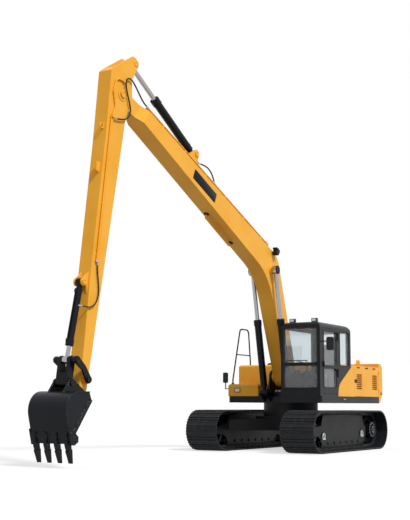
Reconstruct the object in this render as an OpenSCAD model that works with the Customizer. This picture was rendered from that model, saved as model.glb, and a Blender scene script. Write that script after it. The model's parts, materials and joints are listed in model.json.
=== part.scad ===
// Crawler excavator with a long boom and arm, standing on its tracks.
// X points forward, Y to the machine's left, Z up. The origin is on the ground, on the swing axis.

/* [Tracks] */
// Distance between the middles of the two tracks
track_gauge = 2380; // [2300:10:2600]
// Width of a track shoe
shoe_w = 800; // [600:10:900]
// Pitch of the chain, which is the length of one shoe
shoe_pitch = 190; // [180:1:203]
// Number of shoes in one track
shoe_count = 49; // [47:1:53]
// Radius of the chain's pitch line round idler and sprocket
pitch_r = 390; // [370:5:410]
// Height of the links from the pitch line out to the shoes
link_out = 34; // [30:1:44]
// Height of the links from the pitch line in to the rail that the rollers run on
link_in = 46; // [40:1:56]
// Thickness of a shoe plate
shoe_t = 12; // [10:1:16]
// Height of a grouser
grouser_h = 24; // [16:1:34]
// Width of one chain rail
rail_w = 45; // [35:1:55]
// Distance between the middles of the two chain rails
rail_gap = 185; // [170:1:200]
// Width of the side frame's box beam
side_beam_w = 300; // [280:5:340]
// Height of the side frame's box beam
side_beam_h = 330; // [280:5:360]
// Radius of the lower rollers
roller_r = 85; // [70:1:95]
// Number of lower rollers on one side
roller_count = 8; // [5:1:9]
// Radius of the carrier rollers
carrier_r = 70; // [55:1:80]
// Radius of the roller, idler and carrier axles
axle_r = 28; // [20:1:34]

/* [Undercarriage] */
// Height of the centre frame's underside over the ground
ground_clearance = 450; // [420:10:500]
// Height of the centre frame
centre_h = 330; // [280:10:350]
// Outer radius of the swing bearing
bearing_r = 640; // [560:10:700]
// Height of one race of the swing bearing
race_h = 95; // [70:5:120]

/* [Upper structure] */
// Height of the deck's underside over the ground
deck_z = 1090; // [1060:5:1130]
// Height of the deck frame
deck_h = 150; // [120:5:180]
// Half the width of the upper structure
half_w = 1390; // [1350:5:1440]
// Radius that the counterweight swings in
tail_r = 2750; // [2650:10:2900]
// Where the counterweight starts behind the swing axis
tail_x = 2130; // [2050:10:2200]
// Height of the counterweight
counterweight_h = 960; // [850:10:1050]
// Height of the bodywork over the deck
body_h = 740; // [700:10:800]
// Thickness of the body panels
panel_t = 40; // [25:1:50]
// How far behind the cab the engine bay starts
bay_gap = 170; // [150:5:210]
// Height of the hood over the bodywork
hood_h = 60; // [40:5:90]
// Length of the hood
hood_l = 900; // [800:10:1000]
// Width of the hood
hood_w = 1600; // [1400:10:1700]
// Where the tool box ends in front of the swing axis
toolbox_x = 560; // [480:10:640]
// Height of the tool box
toolbox_h = 290; // [240:10:340]
// Inner side of the tool box and tank, from the middle
tank_y = 430; // [425:5:520]
// Radius of the handrail's tube
rail_r = 17; // [14:1:22]

/* [Cab] */
// Front of the cab, from the swing axis
cab_front = 1337; // [1300:5:1380]
// Length of the cab
cab_l = 1727; // [1650:5:1760]
// Inner side of the cab, from the machine's middle
cab_in = 420; // [415:1:450]
// Height of the cab
cab_h = 1650; // [1600:10:1720]
// Thickness of the cab's walls
cab_wall = 60; // [50:1:70]
// Thickness of the glass
glass_t = 6; // [4:1:10]
// Width of the front pillars
pillar_w = 75; // [60:1:90]
// Length of the door
door_l = 820; // [760:5:850]
// Gap round the door
door_gap = 6; // [5:0.5:10]

/* [Boom] */
// Boom foot pin in front of the swing axis
foot_x = 300; // [260:5:340]
// Boom foot pin over the ground
foot_z = 1700; // [1660:5:1740]
// Length of the boom from pin to pin
boom_l = 8490; // [8300:10:8700]
// Angle of the boom's chord over the ground
boom_angle = 35.9; // [30:0.1:40]
// Where the knee is along the chord
knee_u = 2236; // [2150:10:2320]
// Height of the knee over the chord
knee_v = 1486; // [1430:10:1540]
// Width of the boom
boom_w = 360; // [350:2:380]
// Depth of the boom at its foot
foot_depth = 460; // [420:10:500]
// Depth of the boom across its knee
knee_depth = 670; // [620:10:720]
// Depth of the boom at the fork that holds the arm
fork_depth = 320; // [300:5:350]
// Thickness of the boom's and arm's plates
plate_t = 14; // [10:1:18]
// Radius of the big pins
pin_r = 50; // [40:1:55]

/* [Arm] */
// Length of the arm from pin to pin
arm_l = 5610; // [5450:10:5750]
// Angle of the arm
arm_angle = -80; // [-84:0.5:-78]
// Width of the arm at the boom
arm_w = 280; // [260:2:290]
// Width of the arm at the bucket
arm_tip_w = 250; // [240:2:260]
// Depth of the arm at the boom pin
arm_depth = 560; // [520:10:600]
// Depth of the arm at the bucket pin
arm_tip_depth = 190; // [170:5:210]
// Radius of the small pins
small_pin_r = 40; // [32:1:44]

/* [Cylinders] */
// Outer radius of the boom cylinders' barrels
boom_barrel_r = 80; // [70:1:84]
// Radius of the boom cylinders' rods
boom_rod_r = 48; // [40:1:54]
// Length of the boom cylinders' barrels from pin to gland
boom_barrel_l = 1700; // [1600:10:1800]
// Outer radius of the arm cylinder's barrel
arm_barrel_r = 82; // [70:1:90]
// Radius of the arm cylinder's rod
arm_rod_r = 48; // [40:1:56]
// Length of the arm cylinder's barrel from pin to gland
arm_barrel_l = 1630; // [1550:10:1680]
// Outer radius of the bucket cylinder's barrel
bucket_barrel_r = 62; // [54:1:68]
// Radius of the bucket cylinder's rod
bucket_rod_r = 38; // [32:1:42]
// Length of the bucket cylinder's barrel from pin to gland
bucket_barrel_l = 1130; // [1060:10:1140]

/* [Bucket] */
// Width of the bucket
bucket_w = 800; // [700:10:900]
// Radius of the bucket's round back
bucket_r = 315; // [295:5:335]
// Thickness of the bucket's plates
bucket_t = 20; // [14:1:26]
// Number of teeth
tooth_count = 4; // [3:1:6]
// Length of a tooth
tooth_l = 330; // [260:10:350]

/* [Hidden] */
$fn = 48;

yellow = "#F0A830";
dark = "#33363C";
slate = "#3E444F";
chrome = "#C9CDD2";
glass = "#8FA3AD";

// Running clearance round a pin or rod, and the gap between pieces that swing past each other
run = 0.3;
pass = 10;

// Track: the loop's length fixes how far apart the idler and the sprocket stand
loop_l = shoe_count * shoe_pitch;
tumbler_x = (loop_l - 2 * PI * pitch_r) / 4;
shoe_face = link_out + shoe_t;
axle_z = pitch_r + shoe_face + grouser_h;
grouser_base = 14;
grouser_tip = 5;
grouser_step = shoe_pitch / 3;
rail_cos = cos(90 * shoe_pitch / (PI * pitch_r));
tumbler_r = (pitch_r - link_in) * rail_cos - run;
tread_w = rail_gap + rail_w + 6;
flange_w = rail_gap - rail_w - 20;
low_rail_z = axle_z - pitch_r + link_in;
high_rail_z = axle_z + pitch_r - link_in;
roller_z = low_rail_z + run + roller_r;
carrier_z = high_rail_z - run - carrier_r;
beam_z = axle_z - side_beam_h / 2 + 15;
beam_top = beam_z + side_beam_h;
beam_half = side_beam_w / 2;
guard_t = 18;
fork_t = beam_half - tread_w / 2 - 2;
beam_x = tumbler_x - tumbler_r - 50;
roller_step = 2 * (beam_x - 130) / (roller_count - 1);
sprocket_teeth = 21;

// Upper structure: heights
race_z = deck_z - 2 * race_h;
deck_top = deck_z + deck_h;
body_top = deck_top + body_h;
counterweight_z = deck_z + 20;
counterweight_top = counterweight_z + counterweight_h;
panel_in = half_w - panel_t;
bay_x = cab_l - cab_front + bay_gap;
door_split = bay_x + 30;
hood_x = tail_x - 70;
hood_front = hood_x - hood_l;
tank_front = 40;
tank_back = -bay_x - 320;
tank_top = body_top + 20;
a_plate_t = 40;
a_plate_y = 300;
foot_half = a_plate_y - pass;

// Cab: its box
cab_rear = cab_front - cab_l;
cab_out = half_w - 5;
cab_top = deck_top + cab_h;
cab_floor_t = 50;
cab_roof_t = 90;
cab_roof_z = cab_top - cab_roof_t;
cab_round = 150;
door_front = cab_front - 140;
door_rear = door_front - door_l;
door_z0 = deck_top + cab_floor_t + 6;
door_z1 = cab_roof_z - 50;
hinge_y = cab_out + 16;

// Boom: its points, in the boom's own frame
knee = [knee_u, knee_v];
boom_tip = [boom_l, 0];
fork_l = 760;
nose_taper = 546;
nose_r = 150;
cheek_t = 30;
nose_half = arm_w / 2 - cheek_t - pass;
boom_rod_eye = [2250, 1334];
arm_barrel_base = [6011, 1142];
boom_eye_y = 300;
boom_cyl_foot = [760, 1320];

// Arm: its points, in the arm's own frame, where the bucket pin lies straight along from the boom pin
arm_rod_eye = [-785, -290];
bucket_cyl_back = 1930;
bucket_cyl_base = [arm_l - bucket_cyl_back, 300];
lever_pin = [arm_l - 290, 0];
lever_l = 453;
link_l = 391;
bucket_link_pin = [330, 220];
ear_y = arm_tip_w / 2 + 15;
ear_t = 35;

// Points turned and moved between the frames
function turn(p, a) = [cos(a) * p[0] - sin(a) * p[1], sin(a) * p[0] + cos(a) * p[1]];
function from_boom(p) = [foot_x, foot_z] + turn(p, boom_angle);
arm_pin = from_boom(boom_tip);
function from_arm(p) = arm_pin + turn(p, arm_angle);
bucket_pin = from_arm([arm_l, 0]);
boom_eye_at = from_boom(boom_rod_eye);
arm_base_at = from_boom(arm_barrel_base);
arm_eye_at = from_arm(arm_rod_eye);
bucket_base_at = from_arm(bucket_cyl_base);
lever_at = from_arm(lever_pin);
link_at = bucket_pin + bucket_link_pin;
lever_eye_at = meet(lever_at, lever_l, link_at, link_l);

// Where two circles meet, on the left of the line from the first to the second
function meet(a, ra, b, rb) =
    let (d = norm(b - a), x = (ra * ra - rb * rb + d * d) / (2 * d), h = sqrt(ra * ra - x * x))
    let (e = (b - a) / d)
    a + x * e + h * [-e[1], e[0]];

// Direction of a vector, and an angle brought between -180 and 180
function heading(v) = atan2(v[1], v[0]);
function wrapped(a) = a - 360 * floor((a + 180) / 360);

// Points on an arc
function arc(c, r, a0, a1, n = 10) =
    [for (i = [0:n]) let (a = a0 + (a1 - a0) * i / n) c + r * [cos(a), sin(a)]];

// The rounding of corner b between its neighbours a and c
function fillet(a, b, c, r, n = 8) =
    let (u = (a - b) / norm(a - b), v = (c - b) / norm(c - b), half = acos(u * v) / 2)
    let (mid = b + (u + v) / norm(u + v) * r / sin(half), d = r / tan(half))
    let (a0 = heading(b + u * d - mid), a1 = a0 + wrapped(heading(b + v * d - mid) - a0))
    arc(mid, r, a0, a1, n);

// The belt round two circles
function belt(a, ra, b, rb, n = 12) =
    let (t = heading(b - a), s = acos((ra - rb) / norm(b - a)))
    concat(arc(a, ra, t + s, t + 360 - s, n), arc(b, rb, t - s, t + s, n));

// An outline that runs anticlockwise, moved inwards by d
function inset(pts, d) =
    let (n = len(pts))
    [for (i = [0:n - 1])
        let (e = pts[i] - pts[(i + n - 1) % n], f = pts[(i + 1) % n] - pts[i])
        let (p = [-e[1], e[0]] / norm(e), q = [-f[1], f[0]] / norm(f))
        pts[i] + (p + q) * d / (1 + p * q)];

// A rectangle with round corners
function round_box(x0, z0, x1, z1, r, n = 5) = concat(
    arc([x0 + r, z0 + r], r, 180, 270, n), arc([x1 - r, z0 + r], r, 270, 360, n),
    arc([x1 - r, z1 - r], r, 0, 90, n), arc([x0 + r, z1 - r], r, 90, 180, n));

// A side profile drawn in X and Z, as thick as from y0 to y1
module slab(y0, y1) translate([0, y1, 0]) rotate([90, 0, 0]) linear_extrude(y1 - y0) children();
module both_slabs(y0, y1) {
    slab(y0, y1) children();
    slab(-y1, -y0) children();
}
// A front profile drawn in Y and Z, as long as from x0 to x1
module beam(x0, x1) translate([x0, 0, 0]) rotate([90, 0, 90]) linear_extrude(x1 - x0) children();
// A plan drawn in X and Y
module plan(z0, z1) translate([0, 0, z0]) linear_extrude(z1 - z0) children();
module box(a, b) translate(a) cube(b - a);
module at(p) translate([p[0], 0, p[1]]) children();
// A round bar across the machine
module cross(p, r, y0, y1) translate([p[0], y0, p[1]]) rotate([-90, 0, 0]) cylinder(r = r, h = y1 - y0);
module both_cross(p, r, y0, y1) {
    cross(p, r, y0, y1);
    cross(p, r, -y1, -y0);
}
// A round bar between two points
module bar(a, b, r) {
    d = b - a;
    translate(a) rotate([0, acos(d[2] / norm(d)), atan2(d[1], d[0])]) cylinder(r = r, h = norm(d));
}
// A pipe in a plane across Y, through points in X and Z, with elbows that the straight bars end in
elbow_t = 1.5;
elbow_in = 5;
function bend_cut(pts, i, bend) =
    i == 0 || i == len(pts) - 1 ? 0 :
    let (u = pts[i - 1] - pts[i], v = pts[i + 1] - pts[i])
    bend / tan(acos(u * v / norm(u) / norm(v)) / 2);
module bent_pipe(pts, y, r, bend) {
    $fn = 24;
    last = len(pts) - 1;
    for (i = [0:last - 1]) {
        d = (pts[i + 1] - pts[i]) / norm(pts[i + 1] - pts[i]);
        a = pts[i] + d * max(0, bend_cut(pts, i, bend) - elbow_in);
        b = pts[i + 1] - d * max(0, bend_cut(pts, i + 1, bend) - elbow_in);
        bar([a[0], y, a[1]], [b[0], y, b[1]], r);
    }
    for (i = [1:last - 1]) {
        u = (pts[i - 1] - pts[i]) / norm(pts[i - 1] - pts[i]);
        v = (pts[i + 1] - pts[i]) / norm(pts[i + 1] - pts[i]);
        cut = bend_cut(pts, i, bend);
        mid = pts[i] + (u + v) / norm(u + v) * norm([cut, bend]);
        from = heading(pts[i] + u * cut - mid);
        swing = wrapped(heading(pts[i] + v * cut - mid) - from);
        translate([mid[0], y, mid[1]]) rotate([90, 0, 0]) rotate([0, 0, min(from, from + swing)])
            rotate_extrude(angle = abs(swing)) translate([bend, 0]) circle(r = r + elbow_t);
    }
}
module each_track() for (side = [0, 1])
    mirror([0, side, 0]) translate([0, track_gauge / 2, 0]) children();
module in_boom() translate([foot_x, 0, foot_z]) rotate([0, -boom_angle, 0]) children();
module in_arm() at(arm_pin) rotate([0, -arm_angle, 0]) children();
module in_bucket() at(bucket_pin) children();
// The frame of a cylinder, whose X runs from its base pin to its rod's eye
module along(a, b) at(a) rotate([0, -heading(b - a), 0]) children();

// Tracks

// A place on the loop: the point on the pitch line, and the way out from it
function loop_at(s) =
    let (run_l = 2 * tumbler_x, bend = PI * pitch_r)
    s < run_l ? [s - tumbler_x, -pitch_r, -90] :
    s < run_l + bend ? loop_bend(tumbler_x, -90 + (s - run_l) / bend * 180) :
    s < 2 * run_l + bend ? [tumbler_x - (s - run_l - bend), pitch_r, 90] :
    loop_bend(-tumbler_x, 90 + (s - 2 * run_l - bend) / bend * 180);
function loop_bend(x, a) = [x + pitch_r * cos(a), pitch_r * sin(a), a];
// A ring through the link pins, and a point on the shoe that lies straight between two of them
function loop_ring(out) = [for (i = [0:shoe_count - 1])
    let (f = loop_at(i * shoe_pitch)) [f[0], f[1]] + out * [cos(f[2]), sin(f[2])]];
link_pins = loop_ring(0);
function shoe_point(i, along, out) =
    let (a = link_pins[i], b = link_pins[(i + 1) % shoe_count], t = (b - a) / norm(b - a))
    (a + b) / 2 + along * t + out * [t[1], -t[0]];

// Three grousers on a shoe: a blunt one in the middle and a sharp one on each side
grouser_top = shoe_face + grouser_h;
function sharp(t) = [[t - grouser_base, shoe_face], [t, grouser_top], [t + grouser_base, shoe_face]];
blunt = [[-grouser_base, shoe_face], [-grouser_tip, grouser_top], [grouser_tip, grouser_top],
    [grouser_base, shoe_face]];
shoe_profile = concat(sharp(-grouser_step), blunt, sharp(grouser_step));
track_outline = [for (i = [0:shoe_count - 1], p = shoe_profile) shoe_point(i, p[0], p[1])];

module track() color(dark) at([0, axle_z]) {
    slab(-shoe_w / 2, shoe_w / 2) difference() {
        polygon(track_outline);
        polygon(loop_ring(link_out));
    }
    both_slabs((rail_gap - rail_w) / 2, (rail_gap + rail_w) / 2) difference() {
        polygon(loop_ring(link_out + shoe_t / 2));
        polygon(loop_ring(-link_in));
    }
}
module track_left() translate([0, track_gauge / 2, 0]) track();
module track_right() translate([0, -track_gauge / 2, 0]) track();

// Side frame: a box beam with sloped shoulders, a fork for the idler and a plate for the drive
module side_frame() color(dark) {
    shoulder = beam_half * 0.6;
    difference() {
        union() {
            beam(-beam_x, beam_x) polygon([[-beam_half, beam_z], [beam_half, beam_z],
                [beam_half, beam_top - 90], [shoulder, beam_top], [-shoulder, beam_top],
                [-beam_half, beam_top - 90]]);
            both_slabs(beam_half - guard_t, beam_half)
                polygon([[-beam_x + 60, beam_z], [-beam_x + 120, roller_z - 45],
                    [beam_x - 120, roller_z - 45], [beam_x - 60, beam_z]]);
            both_slabs(beam_half - guard_t, beam_half)
                polygon([[-beam_x + 80, skirt_z], [beam_x - 80, skirt_z],
                    [beam_x - 200, skirt_top], [-beam_x + 200, skirt_top]]);
            both_slabs(beam_half - fork_t, beam_half)
                polygon(belt([beam_x - 100, axle_z], 120, [tumbler_x, axle_z], 85));
            slab(-beam_half, -beam_half + fork_t)
                polygon(belt([-beam_x + 100, axle_z], 140, [-tumbler_x, axle_z], 230));
            for (side = [-1, 1])
                slab(-beam_half, -beam_half + fork_t)
                    polygon([[side * carrier_x - 70, beam_top - 120], [side * carrier_x + 70, beam_top - 120],
                        [side * carrier_x + 45, carrier_z + 40], [side * carrier_x - 45, carrier_z + 40]]);
        }
        for (i = [0:roller_count - 1])
            cross([roller_at(i), roller_z], axle_r + run, -beam_half - 1, beam_half + 1);
        cross([tumbler_x, axle_z], axle_r + run, -beam_half - 1, beam_half + 1);
        for (side = [-1, 1]) cross([side * carrier_x, carrier_z], axle_r + run, -beam_half - 1, 0);
    }
}
skirt_z = beam_top - 100;
skirt_top = high_rail_z - 15;
carrier_x = 620;
function roller_at(i) = -beam_x + 130 + i * roller_step;
module track_frame_left() translate([0, track_gauge / 2, 0]) side_frame();
module track_frame_right() mirror([0, 1, 0]) track_frame_left();

// A roller whose two treads run on the chain's rails, with a waist between them
module roller(p, r, axle_in, axle_out) {
    waist = (rail_gap - rail_w) / 2 - 12;
    both_cross(p, r, waist, tread_w / 2);
    cross(p, r * 0.8, -waist - 1, waist + 1);
    cross(p, axle_r, -axle_in, axle_out);
}
module track_rollers() color(slate) each_track() for (i = [0:roller_count - 1])
    roller([roller_at(i), roller_z], roller_r, beam_half, beam_half);
module carrier_rollers() color(slate) each_track() for (side = [-1, 1])
    roller([side * carrier_x, carrier_z], carrier_r, beam_half, tread_w / 2 + 4);

// Front idlers, with a guide flange between the rails and a dished web
module idlers() color(slate) each_track() {
    p = [tumbler_x, axle_z];
    difference() {
        union() {
            cross(p, tumbler_r, -tread_w / 2, tread_w / 2);
            cross(p, tumbler_r + 18, -flange_w / 2, flange_w / 2);
        }
        for (side = [0, 1]) mirror([0, side, 0]) difference() {
            cross(p, tumbler_r - 60, flange_w / 2 - 12, tread_w);
            cross(p, 95, 0, tread_w);
        }
    }
    cross(p, axle_r, -beam_half, beam_half);
}

// Sprockets with their final drives
function tooth_ring(n, root, tip) =
    [for (i = [0:n - 1], k = [[0.12, root], [0.38, tip], [0.62, tip], [0.88, root]])
        let (a = (i + k[0]) * 360 / n) k[1] * [cos(a), sin(a)]];
module sprockets() color(slate) each_track() translate([-tumbler_x, 0, axle_z]) {
    slab(-flange_w / 2, flange_w / 2) polygon(tooth_ring(sprocket_teeth, tumbler_r - 25, tumbler_r + 25));
    cross([0, 0], 215, -beam_half + fork_t, tread_w / 2);
    cross([0, 0], 190, 0, beam_half + 20);
    cross([0, 0], 90, 0, beam_half + 40);
}

// Centre frame: a box with four legs that reach the side frames, and a seat for the swing bearing
module car_body() color(dark) {
    reach = track_gauge / 2 - beam_half;
    core = bearing_r - 20;
    plan(ground_clearance, ground_clearance + centre_h) square(2 * core, center = true);
    for (sx = [0, 1], sy = [0, 1]) mirror([sx, 0, 0]) mirror([0, sy, 0])
        plan(ground_clearance, ground_clearance + centre_h - 80)
            polygon([[200, core - 20], [core - 20, 200], [core + 530, reach], [core - 10, reach]]);
    translate([0, 0, ground_clearance + centre_h])
        cylinder(r = bearing_r, h = race_z - ground_clearance - centre_h);
}

module race(z) translate([0, 0, z]) difference() {
    cylinder(r = bearing_r, h = race_h);
    translate([0, 0, -1]) cylinder(r = bearing_r - 150, h = race_h + 2);
}
module bearing_lower() color(slate) race(race_z);
module bearing_upper() color(slate) intersection() {
    race(race_z + race_h);
    box([-bearing_r, -bearing_r, race_z + race_h + run], [bearing_r, bearing_r, deck_z]);
}

// Upper structure

// Deck: the plan of the revolving frame, with the two plates that carry the boom
deck_front = 600;
deck_round = 90;
deck_right = toolbox_x + 20;
deck_plan = concat([[-tail_x, -half_w]],
    arc([deck_right - deck_round, deck_round - half_w], deck_round, -90, 0, 6),
    [[deck_right, -tank_y + 10], [deck_front, -tank_y + 10]],
    [[deck_front, cab_in - 10], [cab_front, cab_in - 10]],
    arc([cab_front - deck_round, half_w - deck_round], deck_round, 0, 90, 6), [[-tail_x, half_w]]);
lug_in = boom_eye_y - 95;
lug_out = boom_eye_y + 95;
lug_t = 35;
module deck_frame() {
    color(dark) difference() {
        union() {
            plan(deck_z, deck_top) polygon(deck_plan);
            both_slabs(a_plate_y, a_plate_y + a_plate_t)
                polygon(concat([[-bay_x + pass, deck_top], [deck_front - 40, deck_top]],
                    arc([foot_x, foot_z], 160, -10, 130, 12),
                    [[-300, deck_top + 330], [-bay_x + pass, deck_top + 200]]));
            for (y = [lug_in, lug_out - lug_t]) both_slabs(y, y + lug_t)
                polygon(concat([[deck_front - 150, deck_z + 20], [deck_front - 20, deck_z + 10]],
                    arc(boom_cyl_foot, 85, -90, 100, 10), [[deck_front - 150, deck_top + 130]]));
        }
        cross([foot_x, foot_z], pin_r + run, -half_w, half_w);
        cross(boom_cyl_foot, pin_r + run, -half_w, half_w);
    }
}

// Pins of the boom foot and of the two boom cylinders
module upper_pins() color(slate) {
    cross([foot_x, foot_z], pin_r, -a_plate_y - a_plate_t - 15, a_plate_y + a_plate_t + 15);
    both_cross(boom_cyl_foot, pin_r, lug_in - 8, lug_out + 5);
}

// Counterweight: a round back that follows the tail swing, with sloped edges
module counterweight() color(yellow) {
    intersection() {
        rotate_extrude($fn = 96) polygon([[0, counterweight_z], [tail_r - 140, counterweight_z],
            [tail_r, counterweight_z + 220], [tail_r, counterweight_top - 90],
            [tail_r - 90, counterweight_top], [0, counterweight_top]]);
        box([-tail_r - 1, -half_w, deck_z], [-tail_x, half_w, counterweight_top + 1]);
    }
    for (side = [-1, 1]) difference() {
        slab(side * lift_eye_y - 25, side * lift_eye_y + 25)
            polygon(concat(arc([lift_eye_x, lift_eye_z], 80, 0, 180, 12),
                [[lift_eye_x - 110, counterweight_top - 5], [lift_eye_x + 110, counterweight_top - 5]]));
        cross([lift_eye_x, lift_eye_z], lift_eye_r, side * lift_eye_y - 30, side * lift_eye_y + 30);
    }
}
lift_eye_x = -tail_x - 300;
lift_eye_y = 720;
lift_eye_z = counterweight_top + 45;
lift_eye_r = 35;

engine_rear = 120;
engine_front = 560;
engine_right = 760;
engine_left = 640;
engine_low = 140;
module engine_block() color(slate) box([-tail_x + engine_rear, -engine_right, deck_top],
    [-bay_x - engine_front, engine_left, body_top - engine_low]);

// Fixed frame of the engine bay: the wall behind the cab, and a top with the hood's opening
module machine_housing() color(yellow) {
    side = panel_in - run;
    difference() {
        plan(body_top - panel_t, body_top) polygon([[-tail_x, -side], [tank_back - run, -side],
            [tank_back - run, -tank_y + run], [-bay_x, -tank_y + run], [-bay_x, side], [-tail_x, side]]);
        box([-hood_x + 60, -hood_w / 2 + 60, body_top - panel_t - 1],
            [-hood_front - 60, hood_w / 2 - 60, body_top + 1]);
    }
    box([-bay_x - panel_t, -tank_y + run, deck_top], [-bay_x, side, body_top]);
    for (y = [-hood_hinge_y, hood_hinge_y]) {
        hood_post(y - hood_knuckle - run);
        hood_post(y + hood_knuckle + run);
    }
}
hood_axis = [-hood_x - 16, body_top + 25];
hood_hinge_y = 500;
hood_knuckle = 60;
// A fixed knuckle of the hood's hinge on its foot, with its middle at y
module hood_post(y) {
    cross(hood_axis, hinge_r, y - hood_knuckle / 2, y + hood_knuckle / 2);
    box([hood_axis[0] - hinge_r + 2, y - hood_knuckle / 2, body_top - 1],
        [hood_axis[0] + hinge_r - 2, y + hood_knuckle / 2, hood_axis[1]]);
}

// Hood: a shallow pan, hinged along its back on knuckles that stand on the housing
module hood() color(yellow) {
    z = body_top + run;
    difference() {
        translate([0, 0, z]) linear_extrude(hood_h)
            polygon(round_box(-hood_x, -hood_w / 2, -hood_front, hood_w / 2, 60));
        box([-hood_x + 30, -hood_w / 2 + 30, z - 1], [-hood_front - 30, hood_w / 2 - 30, z + hood_h - 20]);
    }
    for (y = [-hood_hinge_y, hood_hinge_y]) {
        cross(hood_axis, hinge_r, y - hood_knuckle / 2, y + hood_knuckle / 2);
        box([hood_axis[0], y - hood_knuckle / 2, hood_axis[1] - 8],
            [-hood_x + 15, y + hood_knuckle / 2, hood_axis[1] + 8]);
    }
}

// Left front panel: its sloped front edge runs down beside the cab
panel_back = -door_split + 4;
panel_foot = [door_rear - 15, deck_top];
panel_knee = [door_rear - 32, deck_top + 240];
panel_peak = [cab_rear - 110, body_top];
left_panel_outline = concat([[panel_back, deck_top], panel_foot],
    fillet(panel_foot, panel_knee, panel_peak, 320),
    fillet(panel_knee, panel_peak, [panel_back, body_top], 190, 4), [[panel_back, body_top]]);
module left_panel() color(yellow) slab(panel_in, half_w) polygon(left_panel_outline);

// A side door with two grilles, hinged at its rear edge outside the panel's face
grille_w = 340;
grille_z = 172;
grille_count = 8;
grille_step = 46;
grille_slot = 31;
module side_door(front, rear) {
    z0 = deck_top + 8;
    z1 = body_top - 4;
    difference() {
        slab(panel_in, half_w) polygon(round_box(-rear, z0, -front, z1, 25));
        for (x = [-rear + 78, -front - 125 - grille_w], i = [0:grille_count - 1])
            slab(panel_in - 1, half_w + 1) polygon(round_box(x, z0 + grille_z + i * grille_step,
                x + grille_w, z0 + grille_z + i * grille_step + grille_slot, 12, 3));
    }
    for (z = [z0 + 100, z1 - 180]) translate([-rear, half_w + 8, z]) cylinder(r = 12, h = 80);
}
door_back = tail_x - 12;
module left_service_door() color(yellow) side_door(door_split, door_back);
module right_service_door() color(yellow) mirror([0, 1, 0]) side_door(-tank_back + 8, door_back);

// Right side: tank and tool box
tank_round = 55;
toolbox_in = -tank_y - 150;
toolbox_top = deck_top + toolbox_h;
// A front profile that stands on the deck with its two upper edges rounded
function round_top(y0, y1, top) = concat([[y0, deck_top], [y1, deck_top]],
    arc([y1 - tank_round, top - tank_round], tank_round, 0, 90, 5),
    arc([y0 + tank_round, top - tank_round], tank_round, 90, 180, 5));
module fuel_tank() color(yellow) intersection() {
    slab(-half_w, -tank_y) polygon(round_box(tank_back, deck_top, tank_front, tank_top, tank_round));
    beam(tank_back, tank_front) polygon(round_top(-half_w, -tank_y, tank_top));
}
module toolbox() color(yellow) intersection() {
    slab(-half_w, toolbox_in) polygon(concat([[tank_front, deck_top], [toolbox_x, deck_top]],
        arc([toolbox_x - tank_round, toolbox_top - tank_round], tank_round, 0, 90, 5),
        [[tank_front, toolbox_top]]));
    beam(tank_front, toolbox_x) polygon(round_top(-half_w, toolbox_in, toolbox_top));
}

// Handrail over the tool box and the tank
rail_y = -half_w + tank_round + 25;
module handrail() color(dark) {
    top = cab_top - 10;
    foot = [0, 100];
    base = [toolbox_x - 80, toolbox_top];
    front = [120, top];
    back = [-300, top];
    end = [-400, tank_top];
    level = tank_top + 250;
    from = base + foot + (front - base - foot) * (level - base[1] - foot[1]) / (top - base[1] - foot[1]);
    to = end + foot + (back - end - foot) * (level - end[1] - foot[1]) / (top - end[1] - foot[1]);
    bent_pipe([base, base + foot, front, back, end + foot, end], rail_y, rail_r, 110);
    bar([from[0], rail_y, level], [to[0], rail_y, level], rail_r - 3);
}

mirror_t = 45;
module mirrors() color(dark) {
    x = cab_front - 75;
    z = cab_top - 650;
    bar([x + 25, cab_out, z + 200], [x + 25, cab_out + 180, z + 200], 12);
    beam(x, x + mirror_t) polygon(round_box(cab_out + 140, z, cab_out + 310, z + 290, 40));
    right_x = toolbox_x - 110;
    y = -half_w - 130;
    bar([right_x + 20, -half_w, deck_top + 180], [right_x + 20, y - 14, deck_top + 180], 10);
    bar([right_x + 20, y, deck_top + 170], [right_x + 20, y, deck_top + 340], 12);
    beam(right_x, right_x + mirror_t) polygon(round_box(y - 60, deck_top + 320, y + 60, deck_top + 570, 30));
}

module exhaust() color(dark) translate([-tail_x + 500, -hood_w / 2 - 180, body_top]) {
    cylinder(r = 75, h = 60);
    translate([0, 0, 60]) difference() {
        cylinder(r = 60, h = 420);
        translate([0, 0, 100]) cylinder(r = 54, h = 421);
    }
}

// Cab

// The cab's outer form, d inside its skin: a side profile and a front profile that cut each other
module cab_form(d) intersection() {
    slab(cab_in + d, cab_out - d) polygon(concat([[cab_rear + d, deck_top], [cab_front - d, deck_top]],
        arc([cab_front - cab_round, cab_top - cab_round], cab_round - d, 0, 90, 8),
        arc([cab_rear + cab_round, cab_top - cab_round], cab_round - d, 90, 180, 8)));
    beam(cab_rear + d, cab_front - d) polygon(concat([[cab_in + d, deck_top], [cab_out - d, deck_top]],
        arc([cab_out - cab_round, cab_top - cab_round], cab_round - d, 0, 90, 8),
        arc([cab_in + cab_round, cab_top - cab_round], cab_round - d, 90, 180, 8)));
}
module cab_between(z0, z1) intersection() {
    children();
    box([cab_rear - 1, cab_in - 1, z0], [cab_front + 1, cab_out + 1, z1]);
}
// Outlines of the openings: the front and rear panes in Y and Z, the side panes in X and Z
pane_round = 45;
screen_split = deck_top + 700;
front_pane = round_box(cab_in + pillar_w, screen_split + 30, cab_out - pillar_w, cab_roof_z - 55, pane_round);
low_pane = round_box(cab_in + pillar_w, deck_top + 180, cab_out - pillar_w, screen_split - 30, pane_round);
rear_pane = round_box(cab_in + 110, deck_top + 620, cab_out - 110, cab_roof_z - 80, pane_round);
right_pane = round_box(cab_rear + 110, deck_top + 520, cab_front - 120, cab_roof_z - 60, pane_round);
quarter_pane = round_box(cab_rear + 90, deck_top + 700, door_rear - 130, cab_roof_z - 80, pane_round);
door_hole = round_box(door_rear - door_gap, door_z0 - door_gap, door_front + door_gap,
    door_z1 + door_gap, 60);
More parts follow.
